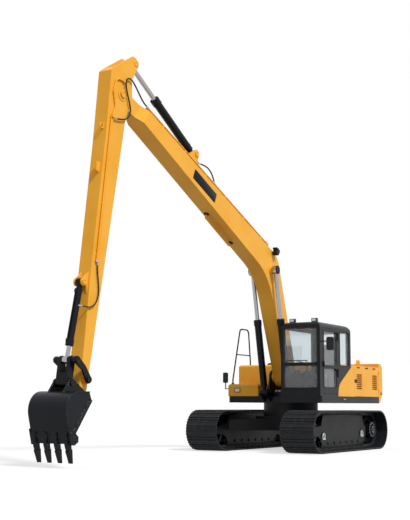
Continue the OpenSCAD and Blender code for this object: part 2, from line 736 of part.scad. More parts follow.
// The door's two hinges: where each of its knuckles starts, and the fixed knuckles over and under it
hinge_h = 90;
hinge_r = 14;
hinge_zs = [door_z0 + 420, door_z1 - 200];
module fixed_knuckle(z) {
    translate([door_rear, hinge_y, z]) cylinder(r = hinge_r, h = hinge_h / 2);
    box([door_rear - 50, cab_out - 5, z], [door_rear - 1, hinge_y + 8, z + hinge_h / 2]);
}
module cab_frame() color(dark) {
    difference() {
        cab_between(deck_top + cab_floor_t, cab_roof_z) difference() {
            cab_form(0);
            cab_form(cab_wall);
        }
        beam(cab_front - cab_wall - 1, cab_front + 1) polygon(front_pane);
        beam(cab_front - cab_wall - 1, cab_front + 1) polygon(low_pane);
        beam(cab_rear - 1, cab_rear + cab_wall + 1) polygon(rear_pane);
        slab(cab_in - 1, cab_in + cab_wall + 1) polygon(right_pane);
        slab(cab_out - cab_wall - 1, cab_out + 1) polygon(quarter_pane);
        slab(cab_out - cab_wall - 1, cab_out + 1) polygon(door_hole);
        slab(panel_in - run, half_w + 1) polygon(inset(left_panel_outline, -run));
    }
    for (z = hinge_zs) {
        fixed_knuckle(z - run - hinge_h / 2);
        fixed_knuckle(z + hinge_h + run);
    }
}
module cab_roof() color(dark) cab_between(cab_roof_z, cab_top) cab_form(0);
module cab_floor() color(dark) difference() {
    cab_between(deck_top, deck_top + cab_floor_t) cab_form(0);
    slab(panel_in - run, half_w + 1) polygon(inset(left_panel_outline, -run));
}
module pane_x(x, pts) beam(x - glass_t / 2, x + glass_t / 2) polygon(inset(pts, run));
module pane_y(y, pts) slab(y - glass_t / 2, y + glass_t / 2) polygon(inset(pts, run));
module cab_glass() color(glass) {
    pane_x(cab_front - cab_wall / 2, front_pane);
    pane_x(cab_front - cab_wall / 2, low_pane);
    pane_x(cab_rear + cab_wall / 2, rear_pane);
    pane_y(cab_in + cab_wall / 2, right_pane);
    pane_y(cab_out - cab_wall / 2, quarter_pane);
}
door_outline = round_box(door_rear, door_z0, door_front, door_z1, 60 - door_gap);
door_pane = round_box(door_rear + 65, deck_top + 680, door_front - 60, door_z1 - 60, pane_round);
door_low_pane = round_box(door_rear + 65, deck_top + 190, door_front - 60, deck_top + 620, pane_round);
handle_z = deck_top + 640;
handle_h = 120;
module cab_door() color(dark) {
    difference() {
        slab(cab_out - cab_wall, cab_out) polygon(door_outline);
        slab(cab_out - cab_wall - 1, cab_out + 1) polygon(door_pane);
        slab(cab_out - cab_wall - 1, cab_out + 1) polygon(door_low_pane);
    }
    for (z = hinge_zs) {
        translate([door_rear, hinge_y, z]) cylinder(r = hinge_r, h = hinge_h);
        box([door_rear + 1, cab_out - 5, z], [door_rear + 40, hinge_y + 8, z + hinge_h]);
    }
    box([door_front - 50, cab_out - 5, handle_z], [door_front - 25, cab_out + 30, handle_z + handle_h]);
}
module door_glass() color(glass) {
    pane_y(cab_out - cab_wall / 2, door_pane);
    pane_y(cab_out - cab_wall / 2, door_low_pane);
}

cab_mid = (cab_in + cab_out) / 2;
seat_x = cab_rear + 230;
seat_z = deck_top + cab_floor_t;
seat_half = 240;
cushion_l = 520;
cushion_z = seat_z + 330;
cushion_t = 130;
back_top = 670;
module seat() color("#2B2B2E") {
    slab(cab_mid - seat_half, cab_mid + seat_half)
        polygon(round_box(seat_x, cushion_z, seat_x + cushion_l, cushion_z + cushion_t, 50));
    slab(cab_mid - seat_half + 10, cab_mid + seat_half - 10)
        polygon(belt([seat_x + 60, cushion_z + 180], 60,
            [seat_x - 30, cushion_z + cushion_t + back_top], 45));
    box([seat_x + 80, cab_mid - seat_half + 60, seat_z],
        [seat_x + cushion_l - 90, cab_mid + seat_half - 60, cushion_z + 1]);
}
console_y = seat_half + 80;
console_half = 60;
console_l = 500;
console_h = 520;
console_top = seat_z + console_h;
stick_h = 160;
knob_r = 32;
pedal_y = 70;
pedal_x = cab_front - 330;
pedal_l = 80;
lever_h = 520;
lever_lean = 90;
module consoles() color("#3A3C40") {
    stick_x = seat_x + console_l - 20;
    for (y = [cab_mid - console_y, cab_mid + console_y]) {
        slab(y - console_half, y + console_half)
            polygon(round_box(seat_x + 60, seat_z, seat_x + 60 + console_l, console_top, 40));
        translate([stick_x, y, console_top - 5]) cylinder(r = 14, h = stick_h);
        translate([stick_x, y, console_top + stick_h + 10]) sphere(r = knob_r);
    }
    for (y = [cab_mid - pedal_y, cab_mid + pedal_y]) {
        box([pedal_x - pedal_l / 2, y - 30, seat_z], [pedal_x + pedal_l / 2, y + 30, seat_z + 40]);
        bar([pedal_x, y, seat_z + 20], [pedal_x - lever_lean, y, seat_z + lever_h], 14);
    }
}
module cab_lamps() color("#D8DCE0") for (y = [cab_in + cab_round + 60, cab_out - cab_round - 60])
    box([cab_front - cab_round - 90, y - 60, cab_top], [cab_front - cab_round, y + 60, cab_top + 85]);

// Boom

boom_axis = boom_tip + [0, 70];
fork_start = 1 - fork_l / norm(boom_axis - knee);
box_end = knee + (boom_axis - knee) * fork_start;
function square_off(a) = [-sin(a), cos(a)];
lower_heading = heading(knee);
upper_heading = heading(boom_axis - knee);
knee_off = square_off((lower_heading + upper_heading) / 2) * knee_depth / 2;
foot_off = square_off(lower_heading) * foot_depth / 2;
tip_off = square_off(upper_heading) * fork_depth / 2;
belly_r = 1400;
shoulder_r = 450;
function boom_outline(end) = concat(fillet(-foot_off, knee - knee_off, box_end - tip_off, belly_r),
    [box_end - tip_off], end, [box_end + tip_off],
    fillet(box_end + tip_off, knee + knee_off, foot_off, shoulder_r),
    arc([0, 0], foot_depth / 2, lower_heading + 90, lower_heading + 270));
boom_nose = arc(boom_tip, nose_r, -100, 80, 12);
nose_plan = [[box_end[0], boom_w / 2], [boom_l - nose_taper, nose_half], [boom_l + boom_w, nose_half]];
boom_plan = concat([[-boom_w * 2, boom_w / 2]], nose_plan,
    [for (i = [2:-1:0]) [nose_plan[i][0], -nose_plan[i][1]]], [[-boom_w * 2, -boom_w / 2]]);
module boom() color(yellow) in_boom() difference() {
    union() {
        difference() {
            intersection() {
                slab(-boom_w / 2, boom_w / 2) polygon(boom_outline(boom_nose));
                plan(-boom_l, boom_l) polygon(boom_plan);
            }
            slab(-boom_w / 2 + plate_t, boom_w / 2 - plate_t) polygon(inset(boom_outline([]), plate_t));
        }
        cross([0, 0], 130, -foot_half, foot_half);
        both_cross(boom_rod_eye, 95, boom_w / 2 - 5, boom_eye_y - 65);
        both_slabs(70, 105) polygon(concat(arc(arm_barrel_base, 95, 20, 200, 12),
            [arm_barrel_base + [-330, -330], arm_barrel_base + [330, -480]]));
    }
    cross([0, 0], pin_r + run, -half_w, half_w);
    cross(boom_tip, pin_r + run, -half_w, half_w);
    cross(arm_barrel_base, pin_r + run, -half_w, half_w);
}
module boom_pins() color(slate) in_boom() {
    cross(boom_tip, pin_r, -arm_w / 2 - 22, arm_w / 2 + 22);
    cross(arm_barrel_base, pin_r, -115, 115);
}

// Pipes along the boom's top, held by clamps
pipe_r = 15;
clamp_w = 34;
clamp_h = 40;
boom_top_a = knee + knee_off;
boom_top_b = box_end + tip_off;
function over_boom(t, h) =
    boom_top_a + (boom_top_b - boom_top_a) * t + square_off(heading(boom_top_b - boom_top_a)) * h;
pipe_h = 45;
module boom_pipes() color(yellow) in_boom() for (y = [125, 161]) {
    a = over_boom(0.1, pipe_h);
    b = over_boom(1, pipe_h);
    bar([a[0], y, a[1]], [b[0], y, b[1]], pipe_r);
    for (t = [0.15:0.15:0.9]) {
        c = over_boom(t, run);
        translate([c[0], y - clamp_w / 2, c[1]]) rotate([0, -heading(boom_top_b - boom_top_a), 0])
            cube([clamp_w, clamp_w, clamp_h]);
    }
}
lamp_at = knee + knee_off * 0.7 + [160, 0];
module boom_lamp() color(dark) in_boom() translate([lamp_at[0], boom_w / 2, lamp_at[1]]) {
    cube([90, 40, 60]);
    translate([20, 40, -40]) cube([110, 110, 130]);
}

// Cylinders

// How far each rod reaches into its barrel as the machine stands
boom_rod_in = 700;
arm_rod_in = 750;
bucket_rod_in = 860;
// A barrel with its base eye, its gland and the pipe that feeds it, along X from its pin
module lying(x0, x1, r) translate([x0, 0, 0]) rotate([0, 90, 0]) cylinder(r = r, h = x1 - x0);
port_r = 11;
port_h = 34;
port_l = 60;
module barrel(r, l, eye_w, pin, rod) difference() {
    neck = pin * 3;
    union() {
        cross([0, 0], pin * 1.75, -eye_w / 2, eye_w / 2);
        lying(0, neck + 1, eye_w * 0.46);
        lying(neck, l, r);
        lying(l - r * 1.6, l, r * 1.14);
        translate([0, 0, r + port_h / 2]) lying(neck + port_l, l - r, port_r);
        for (x = [neck + port_l / 2, l - r * 1.6])
            box([x, -port_h / 2, r * 0.8], [x + port_l, port_h / 2, r + port_h]);
    }
    cross([0, 0], pin + run, -eye_w, eye_w);
    lying(pin * 2.1, l + 1, rod + run);
}
// A rod with the eye at its end, along X from the gland to the eye at l
module rod(r, start, l, eye_r, eye_w) {
    lying(start, l - eye_r * 0.6, r);
    cross([l, 0], eye_r, -eye_w / 2, eye_w / 2);
}
module boom_cylinder_barrels() color(slate) for (side = [-1, 1]) translate([0, side * boom_eye_y, 0])
    along(boom_cyl_foot, boom_eye_at) barrel(boom_barrel_r, boom_barrel_l, 110, pin_r, boom_rod_r);
module boom_cylinder_rods() color(chrome) for (side = [-1, 1]) translate([0, side * boom_eye_y, 0])
    along(boom_cyl_foot, boom_eye_at)
        rod(boom_rod_r, boom_barrel_l - boom_rod_in, norm(boom_eye_at - boom_cyl_foot), 95, 110);
module arm_cylinder_barrel() color(slate) along(arm_base_at, arm_eye_at)
    barrel(arm_barrel_r, arm_barrel_l, 120, pin_r, arm_rod_r);
module arm_cylinder_rod() color(chrome) along(arm_base_at, arm_eye_at)
    rod(arm_rod_r, arm_barrel_l - arm_rod_in, norm(arm_eye_at - arm_base_at), 88, 120);
module bucket_cylinder_barrel() color(slate) along(bucket_base_at, lever_eye_at)
    barrel(bucket_barrel_r, bucket_barrel_l, 100, small_pin_r, bucket_rod_r);
module bucket_cylinder_rod() color(chrome) along(bucket_base_at, lever_eye_at)
    rod(bucket_rod_r, bucket_barrel_l - bucket_rod_in, norm(lever_eye_at - bucket_base_at), 66, 100);

// Arm

arm_taper = 1000;
arm_tip_l = 550;
arm_back = -185;
arm_front = arm_back + arm_depth;
arm_body = [[arm_l, -arm_tip_depth / 2], [arm_l, arm_tip_depth / 2], [lever_pin[0] - arm_tip_l, 125],
    [arm_l * 0.63, 213], [1030, arm_front - 62], [-310, arm_front + 35], [-420, arm_front - 60], [-500, 60],
    [-490, arm_back], [500, arm_back], [arm_l * 0.56, -140]];
arm_cheek = [[480, arm_back], [0, 250], [-310, arm_front + 35], [-420, arm_front - 60], [-873, -172],
    arm_rod_eye + [-95, 20], arm_rod_eye + [-40, -88], arm_rod_eye + [50, -80], [-408, -231],
    [-31, -308], [249, -235]];
cheek_in = arm_w / 2 - cheek_t;
// The boom's nose swings in here, between the cheeks
head_top = -470;
head_end = 560;
head_open = [[head_top, arm_back - arm_depth], [head_end, arm_back - arm_depth],
    [head_end, arm_back + 2 * plate_t], [head_top, arm_back + 2 * plate_t]];
module arm() color(yellow) in_arm() difference() {
    union() {
        intersection() {
            difference() {
                slab(-arm_w / 2, arm_w / 2) polygon(arm_body);
                slab(-arm_tip_w / 2 + plate_t, arm_tip_w / 2 - plate_t) polygon(inset(arm_body, plate_t));
            }
            plan(-arm_w * 4, arm_w * 4) polygon([[-arm_taper, -arm_w / 2], [arm_taper, -arm_w / 2],
                [arm_l + 400, -arm_tip_w / 2], [arm_l + 400, arm_tip_w / 2], [arm_taper, arm_w / 2],
                [-arm_taper, arm_w / 2]]);
        }
        both_slabs(cheek_in, arm_w / 2) polygon(arm_cheek);
        both_cross(arm_rod_eye, 80, 72, cheek_in + 5);
        both_cross([0, 0], 125, cheek_in, arm_w / 2 + 8);
        cross([arm_l, 0], arm_tip_depth / 2, -arm_tip_w / 2, arm_tip_w / 2);
        cross(lever_pin, 75, -lever_y + 6, lever_y - 6);
        both_slabs(60, 90) polygon(concat(arc(bucket_cyl_base, 75, -60, 150, 12),
            [bucket_cyl_base + [-230, -120], bucket_cyl_base + [260, -130]]));
    }
    slab(-cheek_in, cheek_in) polygon(head_open);
    cross([0, 0], pin_r + run, -half_w, half_w);
    cross([arm_l, 0], small_pin_r + run, -half_w, half_w);
    cross(lever_pin, small_pin_r + run, -half_w, half_w);
    cross(bucket_cyl_base, small_pin_r + run, -half_w, half_w);
}
module arm_pins() color(slate) in_arm() {
    cross(lever_pin, small_pin_r, -lever_y - lever_t - 12, lever_y + lever_t + 12);
    cross(bucket_cyl_base, small_pin_r, -98, 98);
    cross([arm_l, 0], small_pin_r, -ear_y - ear_t - 12, ear_y + ear_t + 12);
}
arm_slant = (arm_w - arm_tip_w) / 2 / (arm_l + 400 - arm_taper);
function arm_side(u) = arm_w / 2 - max(0, u - arm_taper) * arm_slant;
// Two pipes down the arm's left side from the block that the hose ends in, and a bent one over its head
block_u = 545;
block_v = 195;
block_h = 70;
pipe_end = arm_l * 0.58;
pipe_drop = 120;
head_pipe = [[-252, 46], [-215, 240], [60, 285], [330, 175], [block_u, block_v + block_h / 2]];
head_pipe_y = arm_w / 2 + 20;
module arm_pipes() color(yellow) in_arm() {
    y = arm_w / 2 + 22;
    box([block_u - 30, arm_w / 2, block_v], [block_u + 30, hose_y + 20, block_v + block_h]);
    for (v = [block_v + pipe_r + 2, block_v + block_h - pipe_r - 2]) {
        bar([block_u, y, v], [pipe_end, y, v - pipe_drop], pipe_r);
        for (t = [0.3, 0.6, 0.95]) {
            u = block_u + (pipe_end - block_u) * t;
            translate([u, arm_side(u), v - t * pipe_drop - 20]) cube([40, y - arm_side(u), 30]);
        }
    }
    bent_pipe(head_pipe, head_pipe_y, pipe_r - 1, 110);
    start = head_pipe[0];
    box([start[0] - 28, arm_w / 2, start[1] - 45], [start[0] + 22, head_pipe_y + 22, start[1] + 10]);
}

// Hose from the boom's outer pipe to the arm's block: its way in the arm's frame, U, Y and V
hose_r = 15;
hose_y = 180;
hose_way = [[-90, 161, -815.5], [-106, 161, -737], [-128, 163, -655], [-165, 166, -570], [-215, 170, -480],
    [-268, 173, -392], [-318, 176, -305], [-358, 178, -215], [-372, 180, -128], [-335, 180, -52],
    [-258, 180, -20], [-165, 180, -38], [-62, 180, -92], [45, 180, -162], [152, 180, -226],
    [255, 180, -252], [350, 180, -225], [425, 180, -160], [480, 180, -72], [518, 180, 22],
    [545, 180, 110], [545, 180, 194.5]];
hose_sides = 10;
function unit(v) = v / norm(v);
function hose_ring(i) =
    let (last = len(hose_way) - 1, t = unit(hose_way[min(i + 1, last)] - hose_way[max(i - 1, 0)]))
    let (n = unit(cross(t, [0, 1, 0])), b = cross(n, t))
    [for (k = [0:hose_sides - 1]) let (a = k * 360 / hose_sides)
        hose_way[i] + hose_r * (cos(a) * n + sin(a) * b)];
module arm_hose() color("#1A1A1C") in_arm() {
    rings = len(hose_way);
    polyhedron([for (i = [0:rings - 1], q = hose_ring(i)) q], concat(
        [[for (k = [hose_sides - 1:-1:0]) k]],
        [for (i = [0:rings - 2], k = [0:hose_sides - 1], f = hose_pair(i, k)) f],
        [[for (k = [0:hose_sides - 1]) (rings - 1) * hose_sides + k]]));
}
function hose_pair(i, k) =
    let (a = i * hose_sides + k, b = i * hose_sides + (k + 1) % hose_sides)
    [[a, b, a + hose_sides], [b, b + hose_sides, a + hose_sides]];

// Bucket linkage

lever_y = ear_y + ear_t + 12 + pass;
lever_t = 35;
lever_bow = 40;
lever_mid = (lever_at + lever_eye_at) / 2 + lever_bow * square_off(heading(lever_eye_at - lever_at));
module link_levers() color(slate) {
    difference() {
        both_slabs(lever_y, lever_y + lever_t) {
            polygon(belt(lever_at, 68, lever_mid, 52));
            polygon(belt(lever_mid, 52, lever_eye_at, 64));
        }
        cross(lever_at, small_pin_r + run, -half_w, half_w);
    }
    both_cross(lever_eye_at, small_pin_r, 68, lever_y + lever_t + 10);
    both_cross(lever_eye_at, 58, arm_tip_w / 2 + 6, lever_y + 1);
}
module h_link() color(slate) difference() {
    slab(-arm_tip_w / 2, arm_tip_w / 2) polygon(belt(lever_eye_at, 72, link_at, 70));
    cross(lever_eye_at, 235, -62, 62);
    cross(lever_eye_at, small_pin_r + run, -half_w, half_w);
}

// Bucket, drawn from the arm's pin

back_mid = [430, 85 - bucket_r];
lip_angle = -16;
lip_l = 460;
lip_dir = [sin(lip_angle), -cos(lip_angle)];
back_end = back_mid + bucket_r * [cos(lip_angle), sin(lip_angle)];
lip = back_end + lip_l * lip_dir;
mouth_top = [60, -70];
shell_start = [130, 85];
shell_outer = concat([shell_start], arc(back_mid, bucket_r, 90, lip_angle, 12), [lip]);
shell_inner = concat([shell_start - [0, bucket_t]], arc(back_mid, bucket_r - bucket_t, 90, lip_angle, 12),
    [lip - bucket_t * [cos(lip_angle), sin(lip_angle)]]);
// The side plates stand inside the shell's edges; the lip has a thick edge with a cutter at each side
side_out = bucket_w / 2 - 16;
edge_h = 130;
cutter_t = 24;
module at_lip() translate([lip[0], 0, lip[1]]) rotate([0, -heading(lip_dir), 0]) children();
function backwards(v) = [for (i = [len(v) - 1:-1:0]) v[i]];
module bucket() color(slate) in_bucket() difference() {
    union() {
        slab(-bucket_w / 2, bucket_w / 2) polygon(concat(shell_outer, backwards(shell_inner)));
        both_slabs(side_out - bucket_t, side_out) polygon(concat([mouth_top], shell_outer));
        both_slabs(side_out - bucket_t, bucket_w / 2) polygon([mouth_top, lip, lip - 90 * lip_dir,
            mouth_top + 60 * square_off(heading(lip - mouth_top))]);
        at_lip() slab(-bucket_w / 2, bucket_w / 2)
            polygon([[-edge_h, -bucket_t - 10], [0, -bucket_t - 10], [0, 10], [-edge_h, 10]]);
        at_lip() both_slabs(bucket_w / 2 - 10, bucket_w / 2 + cutter_t) polygon([[-240, 10], [20, 10],
            [45, -60], [20, -170], [-60, -190], [-240, -60]]);
        both_slabs(ear_y, ear_y + ear_t) polygon(concat(arc([0, 0], 100, 150, 290, 8),
            [[200, 70], [560, 40]], arc(bucket_link_pin, 78, 10, 130, 8)));
        both_cross(bucket_link_pin, small_pin_r, ear_y - 8, ear_y + ear_t + 15);
        each_tooth() slab(-tooth_w * 0.42, tooth_w * 0.42) polygon([[-190, -bucket_t - 20],
            [-40, -bucket_t - 42], [adapter_l, -44], [adapter_l, 24], [-40, 42], [-190, 20]]);
    }
    cross([0, 0], small_pin_r + run, -half_w, half_w);
}
// The adapters that hold the teeth wrap the lip, and each tooth sits on the end of its adapter
tooth_w = 85;
adapter_l = 110;
module each_tooth() for (i = [0:tooth_count - 1])
    translate([0, -bucket_w / 2 + 70 + i * (bucket_w - 140) / (tooth_count - 1), 0]) at_lip() children();
module bucket_teeth() color(slate) in_bucket() each_tooth() slab(-tooth_w / 2, tooth_w / 2)
    polygon([[adapter_l + run, -54], [tooth_l * 0.6, -38], [tooth_l, -16], [tooth_l, -4],
        [tooth_l * 0.6, 18], [adapter_l + run, 34]]);

car_body();
track_frame_left();
track_frame_right();
track_left();
track_right();
idlers();
sprockets();
track_rollers();
carrier_rollers();
bearing_lower();
bearing_upper();
deck_frame();
counterweight();
engine_block();
machine_housing();
left_panel();
fuel_tank();
toolbox();
handrail();
mirrors();
exhaust();
cab_floor();
cab_frame();
cab_roof();
cab_glass();
seat();
consoles();
cab_lamps();
upper_pins();
cab_door();
door_glass();
hood();
left_service_door();
right_service_door();
boom();
boom_pipes();
boom_lamp();
boom_pins();
boom_cylinder_barrels();
boom_cylinder_rods();
arm_cylinder_barrel();
arm_cylinder_rod();
arm();
arm_pipes();
arm_hose();
arm_pins();
bucket_cylinder_barrel();
bucket_cylinder_rod();
link_levers();
h_link();
bucket();
bucket_teeth();
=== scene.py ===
"""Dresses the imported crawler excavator: a finish for every node, its fittings, the stage and the camera."""

import json
import math

import bmesh
import bpy
from bpy.props import FloatProperty, FloatVectorProperty, IntProperty, PointerProperty
from mathutils import Matrix, Vector


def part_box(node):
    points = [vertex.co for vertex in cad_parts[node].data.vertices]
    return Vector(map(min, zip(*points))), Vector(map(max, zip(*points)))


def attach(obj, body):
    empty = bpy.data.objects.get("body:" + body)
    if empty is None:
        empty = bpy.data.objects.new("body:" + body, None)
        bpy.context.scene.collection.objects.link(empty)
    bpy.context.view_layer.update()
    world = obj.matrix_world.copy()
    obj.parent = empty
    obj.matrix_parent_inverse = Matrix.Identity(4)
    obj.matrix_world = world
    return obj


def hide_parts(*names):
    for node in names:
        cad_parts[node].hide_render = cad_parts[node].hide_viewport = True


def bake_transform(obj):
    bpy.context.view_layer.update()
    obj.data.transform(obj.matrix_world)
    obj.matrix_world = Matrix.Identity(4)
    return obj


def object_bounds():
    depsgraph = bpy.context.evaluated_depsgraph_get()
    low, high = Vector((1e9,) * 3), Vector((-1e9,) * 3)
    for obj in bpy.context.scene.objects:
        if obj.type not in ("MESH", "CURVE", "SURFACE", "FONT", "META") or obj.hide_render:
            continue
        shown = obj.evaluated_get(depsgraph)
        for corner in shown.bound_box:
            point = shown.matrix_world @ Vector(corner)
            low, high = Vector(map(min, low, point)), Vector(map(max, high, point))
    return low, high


bl_info = {
    "name": "Crawler excavator dressing",
    "version": (1, 0, 0),
    "blender": (4, 5, 0),
    "location": "View3D > Sidebar > Excavator",
    "description": "Finishes, fittings, stage and camera for a packed crawler excavator",
    "category": "Object",
}

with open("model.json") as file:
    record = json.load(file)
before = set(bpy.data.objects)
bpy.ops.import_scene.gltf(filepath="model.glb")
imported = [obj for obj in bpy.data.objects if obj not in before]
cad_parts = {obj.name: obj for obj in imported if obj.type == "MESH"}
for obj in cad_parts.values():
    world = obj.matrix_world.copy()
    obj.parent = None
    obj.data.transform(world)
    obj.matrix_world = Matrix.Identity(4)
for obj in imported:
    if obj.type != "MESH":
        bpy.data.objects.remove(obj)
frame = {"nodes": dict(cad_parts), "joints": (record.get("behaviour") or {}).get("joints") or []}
cad_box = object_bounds()
nodes = frame["nodes"]
joints = {joint["name"]: joint for joint in frame["joints"]}


def linear(code):
    """An sRGB hex colour as linear RGBA."""
    parts = [int(code[i : i + 2], 16) / 255 for i in (1, 3, 5)]
    return (*[c / 12.92 if c <= 0.04045 else ((c + 0.055) / 1.055) ** 2.4 for c in parts], 1.0)


def colour(code, name, description):
    """A colour setting whose default is an sRGB hex value."""
    return FloatVectorProperty(
        name=name, description=description, subtype="COLOR", size=4, min=0.0, max=1.0, default=linear(code)
    )


def length(metres, name, description):
    """A length setting in metres."""
    return FloatProperty(name=name, description=description, unit="LENGTH", default=metres, min=0.0)


class ExcavatorColours(bpy.types.PropertyGroup):
    """Colours of the excavator's finishes."""

    amber: colour("#F3AF3A", "Amber", "Enamel of boom, arm and bodywork")
    amber_shade: colour("#ECA42B", "Amber shade", "Enamel where it is thin or dusty")
    amber_worn: colour("#C08428", "Amber worn", "Edges where the enamel is rubbed thin")
    charcoal: colour("#14161B", "Charcoal", "Enamel of cab and deck")
    black: colour("#08090A", "Black", "Enamel of the undercarriage")
    slate: colour("#0D1017", "Slate", "Enamel of cylinders and linkage")
    worn: colour("#55575B", "Worn steel", "Steel where ground and stones have rubbed the enamel off")
    dust: colour("#2E2B27", "Dust", "Dry dust on the tracks")
    chrome: colour("#A4A6A9", "Chrome", "Plating of the rods")
    zinc: colour("#D2D5D7", "Zinc", "Plating of bolts and fittings")
    glass: colour("#EAF1F3", "Glass", "Tint of the panes")
    plastic: colour("#0E0F10", "Plastic", "Moulded black plastic")
    lens: colour("#E9ECEE", "Lens", "Lamp lenses")
    cloth: colour("#1F2023", "Cloth", "Seat cloth")
    rubber: colour("#0C0C0D", "Rubber", "Hoses and window seals")
    red: colour("#C2261C", "Red", "Reflectors")
    floor: colour("#A0A09F", "Floor", "Studio floor")


class ExcavatorSizes(bpy.types.PropertyGroup):
    """Sizes of the dressing and the camera."""

    eye: FloatVectorProperty(
        name="Eye",
        description="Where the camera stands",
        subtype="XYZ",
        unit="LENGTH",
        default=(21.519, 10.627, 1.022),
    )
    yaw: FloatProperty(name="Yaw", description="Heading of the view", subtype="ANGLE", default=3.6862)
    pitch: FloatProperty(name="Pitch", description="How far it looks up", subtype="ANGLE", default=0.1449)
    roll: FloatProperty(name="Roll", description="How far the view leans", subtype="ANGLE", default=0.0055)
    lens: FloatProperty(name="Lens", description="Focal length for a 36 mm sensor", default=68.9, min=10)
    sun: FloatVectorProperty(
        name="Sun", description="Where the sun stands", subtype="XYZ", default=(0.2, 0.65, 0.73)
    )
    gauge: length(2.38, "Gauge", "Distance between the middles of the tracks")
    shoe_pitch: length(0.19, "Shoe pitch", "Length of one shoe along the chain")
    shoe_count: IntProperty(name="Shoes", description="Shoes in one track", default=49, min=20)
    pitch_radius: length(0.39, "Pitch radius", "Radius of the chain's pins round idler and sprocket")
    axle_height: length(0.46, "Axle height", "Height of idler and sprocket over the ground")
    shoe_face: length(0.046, "Shoe face", "Height of the shoes' face over the chain's pins")
    rail_gap: length(0.185, "Rail gap", "Distance between the middles of the chain's rails")
    rail_face: length(0.115, "Rail face", "Outer face of the chain's rails from the track's middle")
    frame_face: length(0.15, "Frame face", "Outer face of a side frame from the track's middle")
    hose: length(0.03, "Hose", "Diameter of the hose at the arm's head")
    small_hose: length(0.024, "Small hose", "Diameter of the hoses to the cylinders")
    seal: length(0.009, "Seal", "Radius of the rubber seals round the panes")
    cushion_voxel: length(0.009, "Cushion mesh", "Mesh size of the cushions while they are filled")


def add(tree, kind, values=None, links=None, **settings):
    """Adds a node with its settings, input values and links."""
    node = tree.nodes.new(kind)
    for key, value in settings.items():
        setattr(node, key, value)
    for key, value in (values or {}).items():
        node.inputs[key].default_value = value
    for key, socket in (links or {}).items():
        tree.links.new(socket, node.inputs[key])
    return node


# Bands to the metre in a wave texture whose scale is 1.
BANDS_PER_METRE = 3.2


class Finish:
    """A material under way: its node tree, its principled shader and the object's coordinates."""

    def __init__(self, name, values):
        self.material = bpy.data.materials.new(name)
        self.material.use_nodes = True
        self.tree = self.material.node_tree
        self.tree.nodes.clear()
        self.shader = add(self.tree, "ShaderNodeBsdfPrincipled", values)
        add(self.tree, "ShaderNodeOutputMaterial", links={"Surface": self.shader.outputs["BSDF"]})
        self.place = add(self.tree, "ShaderNodeTexCoord").outputs["Object"]

    def drive(self, name, socket):
        """Links a result to one of the shader's inputs."""
        self.tree.links.new(socket, self.shader.inputs[name])

    def clouds(self, size, low, high, detail=4.0):
        """Clouds about size metres across, from 0 to 1."""
        values = {"Scale": 1.0 / size, "Detail": detail}
        noise = add(self.tree, "ShaderNodeTexNoise", values, {"Vector": self.place})
        links = {"Value": noise.outputs["Fac"]}
        span = add(self.tree, "ShaderNodeMapRange", {"From Min": low, "From Max": high}, links)
        return span.outputs["Result"]

    def tint(self, factor, first, second):
        """The first colour, or the second where factor is 1; a colour may be the result of another tint."""
        mix = add(self.tree, "ShaderNodeMix", links={"Factor": factor}, data_type="RGBA")
        for socket, value in ((mix.inputs[6], first), (mix.inputs[7], second)):
            if isinstance(value, bpy.types.NodeSocket):
                self.tree.links.new(value, socket)
            else:
                socket.default_value = value
        return mix.outputs[2]

    def paint(self, factor, first, second):
        """Gives the shader a tint as its base colour."""
        self.drive("Base Color", self.tint(factor, first, second))

    def gloss(self, size, low, high):
        """Roughness that drifts between two values."""
        values = {"Scale": 1.0 / size, "Detail": 3.0}
        noise = add(self.tree, "ShaderNodeTexNoise", values, {"Vector": self.place})
        links = {"Value": noise.outputs["Fac"]}
        span = add(self.tree, "ShaderNodeMapRange", {"To Min": low, "To Max": high}, links)
        self.drive("Roughness", span.outputs["Result"])

    def press(self, height, depth, strength, edge=None):
        """Presses a pattern into the surface; edge is the normal that it lies on."""
        links = {"Height": height} if edge is None else {"Height": height, "Normal": edge}
        relief = add(self.tree, "ShaderNodeBump", {"Strength": strength, "Distance": depth}, links)
        self.drive("Normal", relief.outputs["Normal"])

    def grain(self, size, depth, strength, edge=None):
        """A fine relief of grains about size metres across; edge is the normal that it lies on."""
        values = {"Scale": 1.0 / size, "Detail": 2.0}
        noise = add(self.tree, "ShaderNodeTexNoise", values, {"Vector": self.place})
        self.press(noise.outputs["Fac"], depth, strength, edge)

    def threads(self, pitch, ways, joint="MULTIPLY"):
        """Threads a pitch apart along one axis, or along two that a joint puts together, from 0 to 1."""
        values = {"Scale": 1.0 / pitch / BANDS_PER_METRE}
        links = {"Vector": self.place}
        waves = [add(self.tree, "ShaderNodeTexWave", values, links, bands_direction=way) for way in ways]
        sets = [wave.outputs["Fac"] for wave in waves]
        if len(sets) == 1:
            return sets[0]
        return add(self.tree, "ShaderNodeMath", links=dict(enumerate(sets)), operation=joint).outputs["Value"]

    def rounded_edges(self, radius):
        """The normal of edges rounded to a radius, and how far each place is on such an edge, from 0 to 1."""
        rounded = add(self.tree, "ShaderNodeBevel", {"Radius": radius}, samples=4).outputs["Normal"]
        flat = add(self.tree, "ShaderNodeNewGeometry").outputs["Normal"]
        dot = add(self.tree, "ShaderNodeVectorMath", links={0: rounded, 1: flat}, operation="DOT_PRODUCT")
        links = {"Value": dot.outputs["Value"]}
        span = add(self.tree, "ShaderNodeMapRange", {"From Min": 0.97, "From Max": 0.8}, links)
        return rounded, span.outputs["Result"]

    def rubbed(self, edge, size, low, high, detail=4.0):
        """How far edges are rubbed, in patches about size metres long, from 0 to 1."""
        patches = self.clouds(size, low, high, detail)
        wear = add(self.tree, "ShaderNodeMath", links={0: edge, 1: patches}, operation="MULTIPLY")
        return wear.outputs["Value"]


